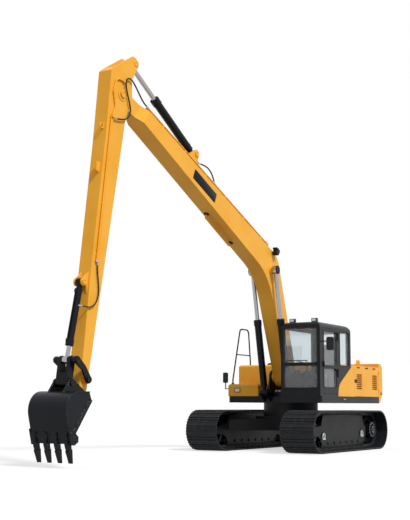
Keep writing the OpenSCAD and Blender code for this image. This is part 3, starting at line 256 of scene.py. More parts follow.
def sprayed_enamel(name, first, second, rubbed, low, high):
    """Two-pack enamel sprayed on plate: glossy, uneven in tone over a metre, rubbed thin along its edges."""
    finish = Finish(name, {"IOR": 1.5, "Specular IOR Level": 0.15})
    rounded, edge = finish.rounded_edges(0.006)
    # Handling rubs an edge in patches about 60 mm long.
    wear = finish.rubbed(edge, 0.06, 0.45, 0.6)
    tone = finish.tint(finish.clouds(0.7, 0.42, 0.72), first, second)
    finish.paint(wear, tone, rubbed)
    finish.gloss(0.4, low, high)
    # Real orange peel is about 3 mm across; drawn at 12 mm so that it shows.
    finish.grain(0.012, 0.0008, 0.12, rounded)


def make_metals(colours):
    """Enamels, bare and plated steel."""
    sprayed_enamel("amber_enamel", colours.amber, colours.amber_shade, colours.amber_worn, 0.28, 0.42)
    sprayed_enamel("charcoal_enamel", colours.charcoal, colours.black, colours.worn, 0.25, 0.4)
    sprayed_enamel("black_enamel", colours.black, colours.plastic, colours.worn, 0.35, 0.5)
    sprayed_enamel("slate_enamel", colours.slate, colours.black, colours.worn, 0.25, 0.4)

    # Rolled steel shoes: dark mill scale, bright on the grousers' ridges, dry dust in patches between them.
    finish = Finish("rolled_steel", {"Specular IOR Level": 0.25})
    rounded, edge = finish.rounded_edges(0.008)
    dusty = finish.tint(finish.clouds(0.09, 0.5, 0.85, 6.0), colours.charcoal, colours.dust)
    finish.paint(edge, dusty, colours.worn)
    finish.gloss(0.11, 0.38, 0.6)
    # Scale pits of 2 mm, drawn at 8 mm so that they show.
    finish.grain(0.008, 0.001, 0.25, rounded)

    # Abrasion plate: slate enamel over hard steel, scraped bright along the edges by stones.
    finish = Finish("scuffed_plate", {"IOR": 1.5, "Specular IOR Level": 0.16})
    rounded, edge = finish.rounded_edges(0.01)
    wear = finish.rubbed(edge, 0.05, 0.42, 0.62, 6.0)
    tone = finish.tint(finish.clouds(0.3, 0.45, 0.8), colours.slate, colours.black)
    finish.paint(wear, tone, colours.worn)
    finish.drive("Metallic", wear)
    finish.gloss(0.15, 0.24, 0.42)
    finish.grain(0.01, 0.001, 0.15, rounded)

    # Hard chrome, ground and polished: near-mirror with a film of oil, which streaks about 30 mm wide.
    finish = Finish("hard_chrome", {"Metallic": 1.0, "Base Color": colours.chrome})
    finish.gloss(0.03, 0.1, 0.2)

    # Bright zinc on bolts: pale grey, dulled in spots about 15 mm across.
    finish = Finish("zinc_plate", {"Metallic": 0.9})
    finish.paint(finish.clouds(0.015, 0.4, 0.7), colours.zinc, colours.worn)
    finish.gloss(0.02, 0.3, 0.45)


def make_clear_and_moulded(colours):
    """Glass, mirrors, moulded plastic, lenses and reflectors."""
    # Float glass with a light grey tint; a film of dust dulls it in clouds of half a metre.
    finish = Finish(
        "tinted_glass", {"IOR": 1.45, "Transmission Weight": 0.95, "Base Color": colours.glass}
    )
    finish.gloss(0.5, 0.0, 0.03)

    # Silvered mirror glass: clear and near perfect.
    finish = Finish("mirror_glass", {"Metallic": 1.0, "Base Color": colours.chrome})
    finish.gloss(0.2, 0.01, 0.04)

    # Moulded polypropylene: black, with the fine grain of a spark-eroded mould, 1 mm drawn at 3 mm.
    finish = Finish("moulded_plastic", {"IOR": 1.49, "Specular IOR Level": 0.3})
    rounded, _ = finish.rounded_edges(0.005)
    finish.paint(finish.clouds(0.16, 0.5, 0.9), colours.plastic, colours.charcoal)
    finish.gloss(0.08, 0.4, 0.6)
    finish.grain(0.003, 0.0006, 0.3, rounded)

    # Polycarbonate lens: pale, glossy, with flutes 12 mm apart pressed into it.
    finish = Finish("lamp_lens", {"IOR": 1.58, "Coat Weight": 0.5})
    flutes = finish.threads(0.012, "Y")
    finish.paint(flutes, colours.lens, colours.zinc)
    finish.gloss(0.05, 0.08, 0.18)
    finish.press(flutes, 0.002, 0.4)

    # Red acrylic reflector: its back is pressed into cube corners about 4 mm wide, drawn at 9 mm.
    finish = Finish("reflector_acrylic", {"IOR": 1.49, "Coat Weight": 0.6})
    corners = add(finish.tree, "ShaderNodeTexVoronoi", {"Scale": 1.0 / 0.009}, {"Vector": finish.place})
    finish.paint(corners.outputs["Distance"], colours.red, colours.plastic)
    finish.gloss(0.03, 0.1, 0.2)


def make_woven_and_rubber(colours):
    """Wire screens, seat cloth and rubber."""
    # Woven wire behind the louvres, painted over: wires 8 mm apart each way, drawn at 16 mm.
    finish = Finish("woven_wire", {"Specular IOR Level": 0.2})
    wires = finish.threads(0.016, "XZ", "MAXIMUM")
    finish.paint(wires, colours.dust, colours.amber_worn)
    finish.gloss(0.05, 0.45, 0.65)
    finish.press(wires, 0.003, 0.5)

    # Woven polyester seat cloth: threads 1.2 mm apart, drawn at 5 mm so that they show.
    finish = Finish("seat_cloth", {"IOR": 1.45, "Sheen Weight": 0.3})
    weave = finish.threads(0.005, "XY")
    finish.paint(weave, colours.plastic, colours.cloth)
    finish.gloss(0.03, 0.75, 0.9)
    finish.press(weave, 0.001, 0.5)

    # Nitrile rubber: black and dull, with the print of the cloth it was wrapped in, 2 mm drawn at 4 mm.
    finish = Finish("hose_rubber", {"IOR": 1.52, "Specular IOR Level": 0.3})
    finish.paint(finish.clouds(0.05, 0.4, 0.7), colours.rubber, colours.plastic)
    finish.gloss(0.05, 0.42, 0.58)
    finish.grain(0.004, 0.0008, 0.4)


FINISH_OF_NODE = {
    "amber_enamel": (
        "counterweight machine_housing left_panel fuel_tank toolbox hood left_service_door "
        "right_service_door boom boom_pipes arm arm_pipes"
    ),
    "charcoal_enamel": "cab_frame cab_roof cab_door cab_floor deck_frame handrail cab_lamps",
    "black_enamel": (
        "car_body track_frame_left track_frame_right engine_block exhaust bearing_lower bearing_upper"
    ),
    "slate_enamel": (
        "boom_cylinder_barrels arm_cylinder_barrel bucket_cylinder_barrel link_levers h_link "
        "boom_pins arm_pins upper_pins idlers sprockets track_rollers carrier_rollers"
    ),
    "rolled_steel": "track_left track_right",
    "scuffed_plate": "bucket bucket_teeth",
    "hard_chrome": "boom_cylinder_rods arm_cylinder_rod bucket_cylinder_rod",
    "tinted_glass": "cab_glass door_glass",
    "moulded_plastic": "mirrors consoles boom_lamp",
    "seat_cloth": "seat",
    "hose_rubber": "arm_hose",
}


# How boom and arm stand in the photograph, in degrees over the level.
BOOM_ANGLE = 35.9
ARM_ANGLE = -80.0
BOOM_FOOT = Vector(joints["boom_lift"]["pos_m"])
ARM_PIN = Vector(joints["arm_swing"]["pos_m"])
BUCKET_PIN = Vector(joints["bucket_curl"]["pos_m"])


UP = (0, 0, 1)
LEFT = (0, 1, 0)
FORWARD = (1, 0, 0)
HERE = Matrix.Identity(4)
MIRRORED = Matrix.Scale(-1, 4, LEFT)
SIDES = (("left", HERE), ("right", MIRRORED))


def on_link(pin, angle, along, y, across):
    """A point in metres from a pin, along and across a link that stands at an angle in degrees."""
    a = math.radians(angle)
    x, z = along * math.cos(a) - across * math.sin(a), along * math.sin(a) + across * math.cos(a)
    return pin + Vector((x, y, z))


def on_boom(along, y, across):
    """A point of the boom's own frame, in metres from its foot pin."""
    return on_link(BOOM_FOOT, BOOM_ANGLE, along, y, across)


def on_arm(along, y, across):
    """A point of the arm's own frame, in metres from its pin in the boom."""
    return on_link(ARM_PIN, ARM_ANGLE, along, y, across)


def placed(at, way=UP, spin=0.0):
    """The place of a piece drawn upright at the origin: its foot at a point and its top pointing a way."""
    aim = Vector(way).to_track_quat("Z", "Y").to_matrix().to_4x4()
    return Matrix.Translation(at) @ aim @ Matrix.Rotation(spin, 4, "Z")


def both_sides(places):
    """Places on the left and their mirror images on the right."""
    return [*places, *[MIRRORED @ place for place in places]]


def arc(radius, first, last, parts):
    """Pairs round a circle, from one angle to another in degrees, both of them in."""
    turns = [math.radians(first + (last - first) * i / parts) for i in range(parts + 1)]
    return [(radius * math.cos(a), radius * math.sin(a)) for a in turns]


def ring(count, radius, at, way):
    """Places round a circle whose axis points a way."""
    foot = placed(at, way)
    return [foot @ Matrix.Translation((x, y, 0)) for x, y in arc(radius, 0, 360, count)[:-1]]


def clear_selection():
    """Deselects everything, because an operator acts on all that is selected."""
    bpy.ops.object.select_all(action="DESELECT")


def pick(piece):
    """Makes a piece the only one selected, and the active one."""
    clear_selection()
    piece.select_set(True)
    bpy.context.view_layer.objects.active = piece


def choose_faces(piece, way):
    """In edit mode, selects the faces that look a way."""
    bpy.ops.mesh.select_mode(type="FACE")
    bpy.ops.mesh.select_all(action="DESELECT")
    mesh = bmesh.from_edit_mesh(piece.data)
    for face in mesh.faces:
        face.select_set(face.normal.dot(Vector(way)) > 0.99)
    bmesh.update_edit_mesh(piece.data)


def close_edit():
    """Turns all faces outward and leaves edit mode."""
    bpy.ops.mesh.select_all(action="SELECT")
    bpy.ops.mesh.normals_make_consistent(inside=False)
    bpy.ops.object.mode_set(mode="OBJECT")


def turned(steps, sides=24):
    """A piece turned about Z, from its (radius, height) steps."""
    clear_selection()
    radius, height = steps[0]
    foot = (0, 0, height)
    bpy.ops.mesh.primitive_circle_add(vertices=sides, radius=radius, fill_type="NGON", location=foot)
    piece = bpy.context.object
    bpy.ops.object.transform_apply(location=True)
    bpy.ops.object.mode_set(mode="EDIT")
    bpy.ops.mesh.select_all(action="SELECT")
    for wide, high in steps[1:]:
        bpy.ops.mesh.extrude_region_move(TRANSFORM_OT_translate={"value": (0, 0, high - height)})
        scale = wide / radius
        bpy.ops.transform.resize(value=(scale, scale, 1), center_override=(0, 0, high))
        radius, height = wide, high
    close_edit()
    return piece


def bolt(radius):
    """A hexagon bolt head on its washer, with a chamfered crown."""
    r = radius
    washer = turned([(r * 1.5, -0.3 * r), (r * 1.5, 0.2 * r), (r * 1.35, 0.28 * r)], 10)
    head = turned([(r, 0.0), (r, 0.75 * r), (r * 0.8, 0.9 * r)], 6)
    return joined([head, washer])


def bolt_circle(count, radius, height, size):
    """Bolts of a size round the axis of a piece that is drawn upright."""
    return copies(bolt(size), ring(count, radius, (0, 0, height), UP))


def band(x, y, z, corner):
    """A plate across Y, given by its spans, with the four edges through it rounded."""
    return block(*zip(x, y, z), corner, 1)


def block(low, high, corner=0.0, axis=2):
    """A block between two corners, with the four edges along one axis rounded."""
    clear_selection()
    middle = [(a + b) / 2 for a, b in zip(low, high)]
    bpy.ops.mesh.primitive_cube_add(size=1.0, location=middle)
    piece = bpy.context.object
    piece.scale = [b - a for a, b in zip(low, high)]
    bpy.ops.object.transform_apply(location=True, scale=True)
    if corner:
        bpy.ops.object.mode_set(mode="EDIT")
        bpy.ops.mesh.select_mode(type="EDGE")
        bpy.ops.mesh.select_all(action="DESELECT")
        mesh = bmesh.from_edit_mesh(piece.data)
        for edge in mesh.edges:
            run = edge.verts[1].co - edge.verts[0].co
            edge.select_set(abs(run[axis]) > 0.99 * run.length)
        bmesh.update_edit_mesh(piece.data)
        bpy.ops.mesh.bevel(offset=corner, segments=5, affect="EDGES")
        bpy.ops.object.mode_set(mode="OBJECT")
    return piece


def step_face(piece, way, margin, height):
    """Insets the face that looks a way by a margin, and moves it out by a height, or in if negative."""
    pick(piece)
    bpy.ops.object.mode_set(mode="EDIT")
    choose_faces(piece, way)
    bpy.ops.mesh.inset(thickness=margin)
    bpy.ops.mesh.extrude_region_move(TRANSFORM_OT_translate={"value": Vector(way) * height})
    close_edit()
    return piece


def tube(points, radius, closed=False, steps=2):
    """A round tube along points, with closed ends."""
    clear_selection()
    bpy.ops.curve.primitive_nurbs_path_add()
    piece = bpy.context.object
    data = piece.data
    data.splines.clear()
    spline = data.splines.new("POLY")
    spline.points.add(len(points) - 1)
    for point, at in zip(spline.points, points):
        point.co = (*at, 1.0)
    spline.use_cyclic_u = closed
    data.dimensions = "3D"
    data.bevel_depth = radius
    data.bevel_resolution = steps
    data.use_fill_caps = not closed
    bpy.ops.object.convert(target="MESH")
    piece = bpy.context.object
    bpy.ops.object.mode_set(mode="EDIT")
    bpy.ops.mesh.select_all(action="SELECT")
    bpy.ops.mesh.remove_doubles(threshold=radius / 50)
    close_edit()
    return piece


def soften(piece, edge):
    """Rounds a piece's sharp edges."""
    pick(piece)
    rounding = piece.modifiers.new("edges", "BEVEL")
    rounding.width = edge
    rounding.segments = 2
    rounding.limit_method = "ANGLE"
    bpy.ops.object.modifier_apply(modifier=rounding.name)
    return piece


def joined(pieces):
    """Several pieces as one."""
    clear_selection()
    for piece in pieces:
        piece.select_set(True)
    bpy.context.view_layer.objects.active = pieces[0]
    bpy.ops.object.join()
    return pieces[0]


def copies(piece, places):
    """A copy of a piece at each place, all as one; the model itself is removed."""
    made = []
    for place in places:
        copy = piece.copy()
        copy.data = piece.data.copy()
        copy.data.transform(place)
        if place.determinant() < 0:
            copy.data.flip_normals()
        bpy.context.collection.objects.link(copy)
        made.append(copy)
    bpy.data.objects.remove(piece)
    return joined(made)


# The sharpest crease that is shaded smooth, in degrees.
NODE_CREASE = 30
PIECE_CREASE = 35
HOSE_CREASE = 50


def coat(piece, finish, crease):
    """Gives a piece its finish, and shades it smooth up to a crease in degrees."""
    pick(piece)
    bpy.ops.object.shade_smooth_by_angle(angle=math.radians(crease))
    piece.data.materials.clear()
    piece.data.materials.append(bpy.data.materials[finish])


def call(piece, name):
    """Names a piece and its mesh."""
    piece.name = piece.data.name = name


def fit(piece, name, body, finish, places=None):
    """Names a piece, or its copies at some places, gives it its finish and lets it ride on a body."""
    if places:
        piece = copies(piece, places)
    coat(piece, finish, PIECE_CREASE)
    call(piece, name)
    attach(piece, body)
    return piece


def smooth_way(points, parts):
    """Points on a smooth curve through the given ones, parts to each span."""
    ends = [2 * points[0] - points[1], *points, 2 * points[-1] - points[-2]]
    way = []
    for a, b, c, d in zip(ends, ends[1:], ends[2:], ends[3:]):
        for i in range(parts):
            t = i / parts
            square, cube = 2 * a - 5 * b + 4 * c - d, 3 * b - 3 * c + d - a
            way.append(0.5 * (2 * b + (c - a) * t + square * t**2 + cube * t**3))
    return [*way, points[-1]]


# The stage: floor and farthest view in metres, sensor in millimetres, the sky in linear light.
FLOOR_SPAN = 400.0
FLOOR_GLOW = 0.62
FARTHEST = 500.0
SENSOR_WIDTH = 36.0
WHITE = linear("#FFFFFF")
SKY = (0.95, 0.97, 1.0, 1.0)
SKY_STRENGTH = 0.55
SUN_STRENGTH = 2.75
SUN_SPREAD = math.radians(12)


class EXCAVATOR_OT_stage(bpy.types.Operator):
    """Lay the floor, set the lights and stand the camera where the photograph was taken"""

    bl_idname = "excavator.stage"
    bl_label = "Stage"

    def execute(self, context):
        scene = context.scene
        scene.view_settings.view_transform = "Standard"
        self.lay_floor(scene.excavator_colours.floor)
        self.set_lights(scene, scene.excavator_sizes)
        self.stand_camera(scene, scene.excavator_sizes)
        return {"FINISHED"}

    def lay_floor(self, tone):
        """A floor that is matt grey to the object, and near white with a shadow to camera, metal and glass."""
        clear_selection()
        bpy.ops.mesh.primitive_plane_add(size=FLOOR_SPAN, location=(0, 0, cad_box[0][2] - 0.001))
        floor = bpy.context.object
        floor.name = "floor"
        bpy.ops.object.transform_apply(location=True)
        matt = {"Roughness": 0.95, "Specular IOR Level": 0.0}
        finish = Finish("studio_floor", {**matt, "Base Color": tone, "Emission Color": WHITE})
        seen = self.seen_white(finish.tree)
        glow = add(finish.tree, "ShaderNodeMath", {1: FLOOR_GLOW}, {0: seen}, operation="MULTIPLY")
        finish.drive("Emission Strength", glow.outputs["Value"])
        floor.data.materials.append(finish.material)

    def set_lights(self, scene, sizes):
        """A soft sky, which the camera sees as white, and one wide sun."""
        world = bpy.data.worlds.new("studio")
        world.use_nodes = True
        tree = world.node_tree
        tree.nodes.clear()
        soft = add(tree, "ShaderNodeBackground", {"Color": SKY, "Strength": SKY_STRENGTH})
        plain = add(tree, "ShaderNodeBackground", {"Color": WHITE, "Strength": 1.0})
        shades = {1: soft.outputs["Background"], 2: plain.outputs["Background"]}
        mix = add(tree, "ShaderNodeMixShader", links={"Fac": self.seen_white(tree), **shades})
        add(tree, "ShaderNodeOutputWorld", links={"Surface": mix.outputs["Shader"]})
        scene.world = world

        sun = bpy.data.lights.new("sun", "SUN")
        sun.energy = SUN_STRENGTH
        sun.angle = SUN_SPREAD
        lamp = bpy.data.objects.new("sun", sun)
        scene.collection.objects.link(lamp)
        lamp.rotation_euler = (-Vector(sizes.sun)).to_track_quat("-Z", "Y").to_euler()

    def stand_camera(self, scene, sizes):
        """The camera as it was fitted to the photograph."""
        camera = bpy.data.cameras.new("camera")
        camera.lens = sizes.lens
        camera.sensor_width = SENSOR_WIDTH
        camera.clip_end = FARTHEST
        eye = bpy.data.objects.new("camera", camera)
        scene.collection.objects.link(eye)
        level = math.cos(sizes.pitch)
        forward = Vector((math.cos(sizes.yaw) * level, math.sin(sizes.yaw) * level, math.sin(sizes.pitch)))
        turn = forward.to_track_quat("-Z", "Y").to_matrix().to_4x4()
        eye.matrix_world = Matrix.Translation(sizes.eye) @ turn @ Matrix.Rotation(sizes.roll, 4, "Z")
        scene.camera = eye

    def seen_white(self, tree):
        """1 for the rays of the camera and for those that metal and glass send on."""
        path = add(tree, "ShaderNodeLightPath")
        seen = path.outputs["Is Camera Ray"]
        for ray in ("Is Glossy Ray", "Is Transmission Ray"):
            both = add(tree, "ShaderNodeMath", links={0: seen, 1: path.outputs[ray]}, operation="MAXIMUM")
            seen = both.outputs["Value"]
        return seen


class EXCAVATOR_OT_finishes(bpy.types.Operator):
    """Give every CAD node its finish"""

    bl_idname = "excavator.finishes"
    bl_label = "Finishes"

    def execute(self, context):
        for make in (make_metals, make_clear_and_moulded, make_woven_and_rubber):
            make(context.scene.excavator_colours)
        for finish, names in FINISH_OF_NODE.items():
            for name in names.split():
                coat(nodes[name], finish, NODE_CREASE)
        bare = set(nodes) - set(" ".join(FINISH_OF_NODE.values()).split())
        if bare:
            raise RuntimeError(f"nodes without a finish: {sorted(bare)}")
        return {"FINISHED"}


# The ways of the hoses, in metres along, from the middle and across. The first repeats the part's source: it
# loops from the boom's pipe to the block on the arm. The second leaves the arm's pipe for the bucket cylinder,
# and the third the boom's pipe for the lug of the arm cylinder.
HEAD_WAY = (
    (-0.09, 0.161, -0.8155), (-0.106, 0.161, -0.737), (-0.128, 0.163, -0.655), (-0.165, 0.166, -0.57),
    (-0.215, 0.17, -0.48), (-0.268, 0.173, -0.392), (-0.318, 0.176, -0.305), (-0.358, 0.178, -0.215),
    (-0.372, 0.18, -0.128), (-0.335, 0.18, -0.052), (-0.258, 0.18, -0.02), (-0.165, 0.18, -0.038),
    (-0.062, 0.18, -0.092), (0.045, 0.18, -0.162), (0.152, 0.18, -0.226), (0.255, 0.18, -0.252),
    (0.35, 0.18, -0.225), (0.425, 0.18, -0.16), (0.48, 0.18, -0.072), (0.518, 0.18, 0.022),
    (0.545, 0.18, 0.11), (0.545, 0.18, 0.1945),
)
BUCKET_WAY = (
    (3.254, 0.162, 0.092), (3.34, 0.162, 0.086), (3.43, 0.162, 0.066), (3.525, 0.162, 0.034),
    (3.62, 0.162, 0.0), (3.715, 0.162, -0.028), (3.81, 0.162, -0.04), (3.9, 0.162, -0.03),
    (3.98, 0.162, 0.004), (4.042, 0.162, 0.058), (4.082, 0.162, 0.12), (4.104, 0.162, 0.18),
    (4.111, 0.162, 0.222), (4.112, 0.154, 0.26), (4.111, 0.133, 0.293), (4.11, 0.1, 0.314),
    (4.109, 0.058, 0.322),
)
LUG_WAY = (
    (5.19, 0.161, 1.096), (5.225, 0.16, 1.114), (5.262, 0.158, 1.136), (5.302, 0.155, 1.158),
    (5.345, 0.152, 1.178), (5.39, 0.149, 1.193), (5.438, 0.146, 1.202), (5.487, 0.143, 1.204),
    (5.536, 0.14, 1.199), (5.583, 0.137, 1.187), (5.628, 0.134, 1.169), (5.671, 0.131, 1.147),
    (5.713, 0.128, 1.122), (5.754, 0.124, 1.096), (5.794, 0.12, 1.07), (5.834, 0.114, 1.044),
    (5.872, 0.106, 1.02),
)
# Steps of a pressed ferrule: times the hose's radius, and height.
COLLAR = (
    (1.15, -0.004), (1.5, 0.0), (1.5, 0.018), (1.28, 0.02),
    (1.28, 0.052), (1.2, 0.056), (1.2, 0.074), (1.06, 0.078),
)


class EXCAVATOR_OT_hoses(bpy.types.Operator):
    """Lead the hoses from pipe to block, cylinder and lug, with a pressed ferrule at each end"""

    bl_idname = "excavator.hoses"
    bl_label = "Hoses"

    def execute(self, context):
        sizes = context.scene.excavator_sizes
        head = self.lead("arm_hose_line", [on_arm(*at) for at in HEAD_WAY], sizes.hose, "boom", "arm")
        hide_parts("arm_hose")
        points = [on_arm(*at) for at in BUCKET_WAY]
        self.lead("bucket_hose_line", points, sizes.small_hose, "arm", "bucket_barrel")
        self.lead("lug_hose_line", [on_boom(*at) for at in LUG_WAY], sizes.hose, "boom", "boom")
        return {"FINISHED"}

    def lead(self, name, points, wide, first, last):
        """A hose through points, with a ferrule at each end on that end's body; the hose rides on a body only
        when both ends are on the same one.
        """
        way = smooth_way(points, 3)
        r = wide / 2
        hose = tube(way, r, steps=4)
        coat(hose, "hose_rubber", HOSE_CREASE)
        call(hose, name)
        collar = [(r * grow, high) for grow, high in COLLAR]
        for end, body, at, on in (("start", first, way[0], way[1]), ("end", last, way[-1], way[-2])):
            spots = [placed(at, on - at)]
            fit(turned(collar, 20), f"{name}_{end}_ferrule", body, "zinc_plate", spots)
        if first == last:
            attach(hose, first)
        else:
            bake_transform(hose)
        return hose


class EXCAVATOR_OT_tracks(bpy.types.Operator):
    """Bolt the shoes, set the chain's links, and cap rollers, idlers and final drives"""

    bl_idname = "excavator.tracks"
    bl_label = "Track fittings"

    def execute(self, context):
        sizes = context.scene.excavator_sizes
        half = sizes.gauge / 2
        straight = (sizes.shoe_count * sizes.shoe_pitch - 2 * math.pi * sizes.pitch_radius) / 4
        pins = [self.chain_pin(sizes, straight, i * sizes.shoe_pitch) for i in range(sizes.shoe_count)]
        pairs = list(zip(pins, [*pins[1:], pins[0]]))
        self.shoe_bolts(sizes, half, pairs)
        self.chain_links(sizes, half, pairs)
        self.roller_caps(sizes, half)
        self.axle_ends(sizes, half, straight)
        self.guard_strips(half)
        self.tie_down_loops(sizes, half)
        return {"FINISHED"}

    def shoe_bolts(self, sizes, half, pairs):
        """Four bolts hold each shoe, in the two valleys between its grousers."""
        valley = sizes.shoe_pitch / 6
        spots = []
        for a, b in pairs:
            run = (b - a).normalized()
            out = Vector((run.z, 0, -run.x))
            for step in (-valley, valley):
                for y in (-sizes.rail_gap / 2, sizes.rail_gap / 2):
                    at = (a + b) / 2 + run * step + out * sizes.shoe_face
                    spots.append(placed(at + Vector((0, half + y, 0)), out))
        fit(bolt(0.012), "shoe_bolts", "undercarriage", "rolled_steel", both_sides(spots))

    def chain_links(self, sizes, half, pairs):
        """A link on each side of each chain rail, with the end of its pin."""
        spots = []
        for a, b in pairs:
            run = (b - a).normalized()
            for side in (-1, 1):
                at = a + Vector((0, half + side * sizes.rail_face, 0))
                upright = Vector((0, side, 0))
                turn = Matrix((run, upright.cross(run), upright)).transposed().to_4x4()
                spots.append(Matrix.Translation(at) @ turn)
        fit(self.link(sizes.shoe_pitch), "chain_links", "undercarriage", "rolled_steel", both_sides(spots))

    def roller_caps(self, sizes, half):
        """Roller ends on both faces of the side frame."""
        steps = [(0.036, -0.004), (0.036, 0.008), (0.03, 0.012), (0.014, 0.012), (0.014, 0.02), (0.01, 0.023)]
        cap = turned(steps, 16)
        spots = []
        for x, z in self.roller_places():
            for side in (-1, 1):
                spots.append(placed((x, half + side * sizes.frame_face, z), (0, side, 0)))
        fit(cap, "roller_caps", "undercarriage", "slate_enamel", both_sides(spots))

    def axle_ends(self, sizes, half, straight):
        """Idler axle caps, and the bolts of idlers and final drives."""
        axle = Vector((straight, half, sizes.axle_height))
        face = axle + Vector((0, sizes.frame_face, 0))
        steps = [(0.075, -0.004), (0.075, 0.012), (0.068, 0.018), (0.03, 0.018), (0.026, 0.026)]
        cap = turned([*steps, (0.012, 0.028)])
        fit(cap, "idler_caps", "undercarriage", "black_enamel", both_sides([placed(face, LEFT)]))
        drive, hub = [(-straight, half + y, sizes.axle_height) for y in (0.17, 0.19)]
        spots = [
            *ring(4, 0.052, face + Vector((0, 0.018, 0)), LEFT),
            *ring(16, 0.162, drive, LEFT),
            *ring(8, 0.066, hub, LEFT),
        ]
        fit(bolt(0.01), "drive_bolts", "undercarriage", "zinc_plate", both_sides(spots))

    def guard_strips(self, half):
        """Guard strips along the side frames, over the rollers' treads below and beside the upper chain."""
        strips = []
        for reach, span in ((1.125, (0.779, 0.83)), (1.205, (0.104, 0.166))):
            for middle in (half - 0.141, half + 0.141):
                strip = band((-reach, reach), (middle - 0.007, middle + 0.007), span, 0.006)
                strips.append(soften(strip, 0.002))
        fit(joined(strips), "guard_strips", "undercarriage", "black_enamel", both_sides([HERE]))

    def tie_down_loops(self, sizes, half):
        """Tie-down loops on the side frames."""
        loop = [(x, y, 0.018) for x, y in ((0.05, -0.05), *arc(0.05, 0, 180, 12), (-0.05, -0.05))]
        foot = soften(block((-0.085, -0.09, -0.004), (0.085, -0.04, 0.034), 0.014), 0.004)
        hook = joined([foot, tube(loop, 0.02, steps=3)])
        spots = [placed((x, half + sizes.frame_face, z), LEFT) for x, z in ((1.13, 0.37), (-1.046, 0.39))]
        fit(hook, "tie_down_loops", "undercarriage", "zinc_plate", both_sides(spots))

    def chain_pin(self, sizes, straight, s):
        """The chain's pin at a distance along the loop, in the track's own plane."""
        bend = math.pi * sizes.pitch_radius
        r = sizes.pitch_radius
        if s < 2 * straight:
            x, z = s - straight, -r
        elif s < 2 * straight + bend:
            a = -math.pi / 2 + (s - 2 * straight) / r
            x, z = straight + r * math.cos(a), r * math.sin(a)
        elif s < 4 * straight + bend:
            x, z = 3 * straight + bend - s, r
        else:
            a = math.pi / 2 + (s - 4 * straight - bend) / r
            x, z = r * math.cos(a) - straight, r * math.sin(a)
        return Vector((x, 0, z + sizes.axle_height))

    def link(self, pitch):
        """A link plate from one pin to the next, 4 mm proud of the rail."""
        plate = block((-0.03, -0.026, -0.004), (pitch - 0.036, 0.03, 0.004), 0.02)
        end = turned([(0.021, 0.0), (0.021, 0.008), (0.016, 0.011)], 10)
        return joined([plate, end])

    def roller_places(self):
        """Middles of the lower rollers along one side, from the extent of their node."""
        low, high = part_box("track_rollers")
        r = (high[2] - low[2]) / 2
        count = 8
        step = (high[0] - low[0] - 2 * r) / (count - 1)
        return [(low[0] + r + i * step, low[2] + r) for i in range(count)]


class EXCAVATOR_OT_pins(bpy.types.Operator):
    """Cap the pins of boom, arm, cylinders and bucket, each with its keeper bolts"""

    bl_idname = "excavator.pins"
    bl_label = "Pin caps"

    def execute(self, context):
        self.caps()
        self.glands()
        return {"FINISHED"}

    def caps(self):
        """A dished cap on both ends of each pin, with three keeper bolts."""
        lever_eye = Vector(joints["link_tilt"]["pos_m"])
        lever_pin = Vector(joints["lever_tilt"]["pos_m"])
        boom_eye = on_boom(2.25, 0, 1.334)
        link_pin = BUCKET_PIN + Vector((0.33, 0, 0.22))
        dark, amber = "slate_enamel", "amber_enamel"
        for name, body, at, face, r, thick, finish in (
            ("boom_foot_caps", "house", BOOM_FOOT, 0.355, 0.072, 0.012, dark),
            ("boom_cylinder_foot_caps", "house", Vector((0.76, 0, 1.32)), 0.4, 0.07, 0.012, dark),
            ("boom_cylinder_eye_caps", "boom_rods", boom_eye, 0.355, 0.098, 0.012, dark),
            ("arm_pin_caps", "boom", ARM_PIN, 0.162, 0.068, 0.01, amber),
            ("arm_cylinder_base_caps", "boom", on_boom(6.011, 0, 1.142), 0.115, 0.066, 0.01, amber),
            ("arm_cylinder_eye_caps", "arm", on_arm(-0.785, 0, -0.29), 0.14, 0.062, 0.01, amber),
            ("bucket_cylinder_base_caps", "arm", on_arm(3.68, 0, 0.3), 0.098, 0.056, 0.01, amber),
            ("lever_pin_caps", "arm", lever_pin, 0.244, 0.055, 0.008, dark),
            ("lever_eye_caps", "levers", lever_eye, 0.242, 0.055, 0.008, dark),
            ("bucket_pin_caps", "arm", BUCKET_PIN, 0.187, 0.052, 0.004, dark),
            ("link_pin_caps", "bucket", link_pin, 0.19, 0.052, 0.003, dark),
        ):
            at = Vector((at.x, face, at.z))
            dish = thick * 0.6
            steps = [(r, -0.006), (r, thick * 0.7), (r * 0.94, thick), (r * 0.5, thick), (r * 0.44, dish)]
            cap = turned([*steps, (r * 0.1, dish)], 32)
            heads = bolt_circle(3, r * 0.72, thick - r * 0.06, r * 0.14)
            fit(joined([cap, heads]), name, body, finish, both_sides([placed(at, LEFT)]))

    def glands(self):
        """Wiper rings and gland bolts where the rods leave their barrels."""
        lip_radius = 0.009
        for name, tilt, slide, reach, rod, wide, ys in (
            ("boom_cylinder_glands", "boom_barrel_tilt", "boom_rod_slide", 1.7, 0.048, 0.078, (-0.3, 0.3)),
            ("arm_cylinder_gland", "arm_barrel_tilt", "arm_rod_slide", 1.63, 0.048, 0.08, (0,)),
            ("bucket_cylinder_gland", "bucket_barrel_tilt", "bucket_rod_slide", 1.13, 0.038, 0.06, (0,)),
        ):
            way = Vector(joints[slide]["axis"])
            base = Vector(joints[tilt]["pos_m"])
            spots = [placed(Vector((base.x, y, base.z)) + way * reach, way) for y in ys]
            lip = tube([(x, y, 0.004) for x, y in arc(rod + lip_radius, 0, 360, 32)[:-1]], lip_radius, True)
            heads = bolt_circle(10, wide, 0.001, 0.007)
            fit(joined([lip, heads]), name, joints[tilt]["child"], "slate_enamel", spots)


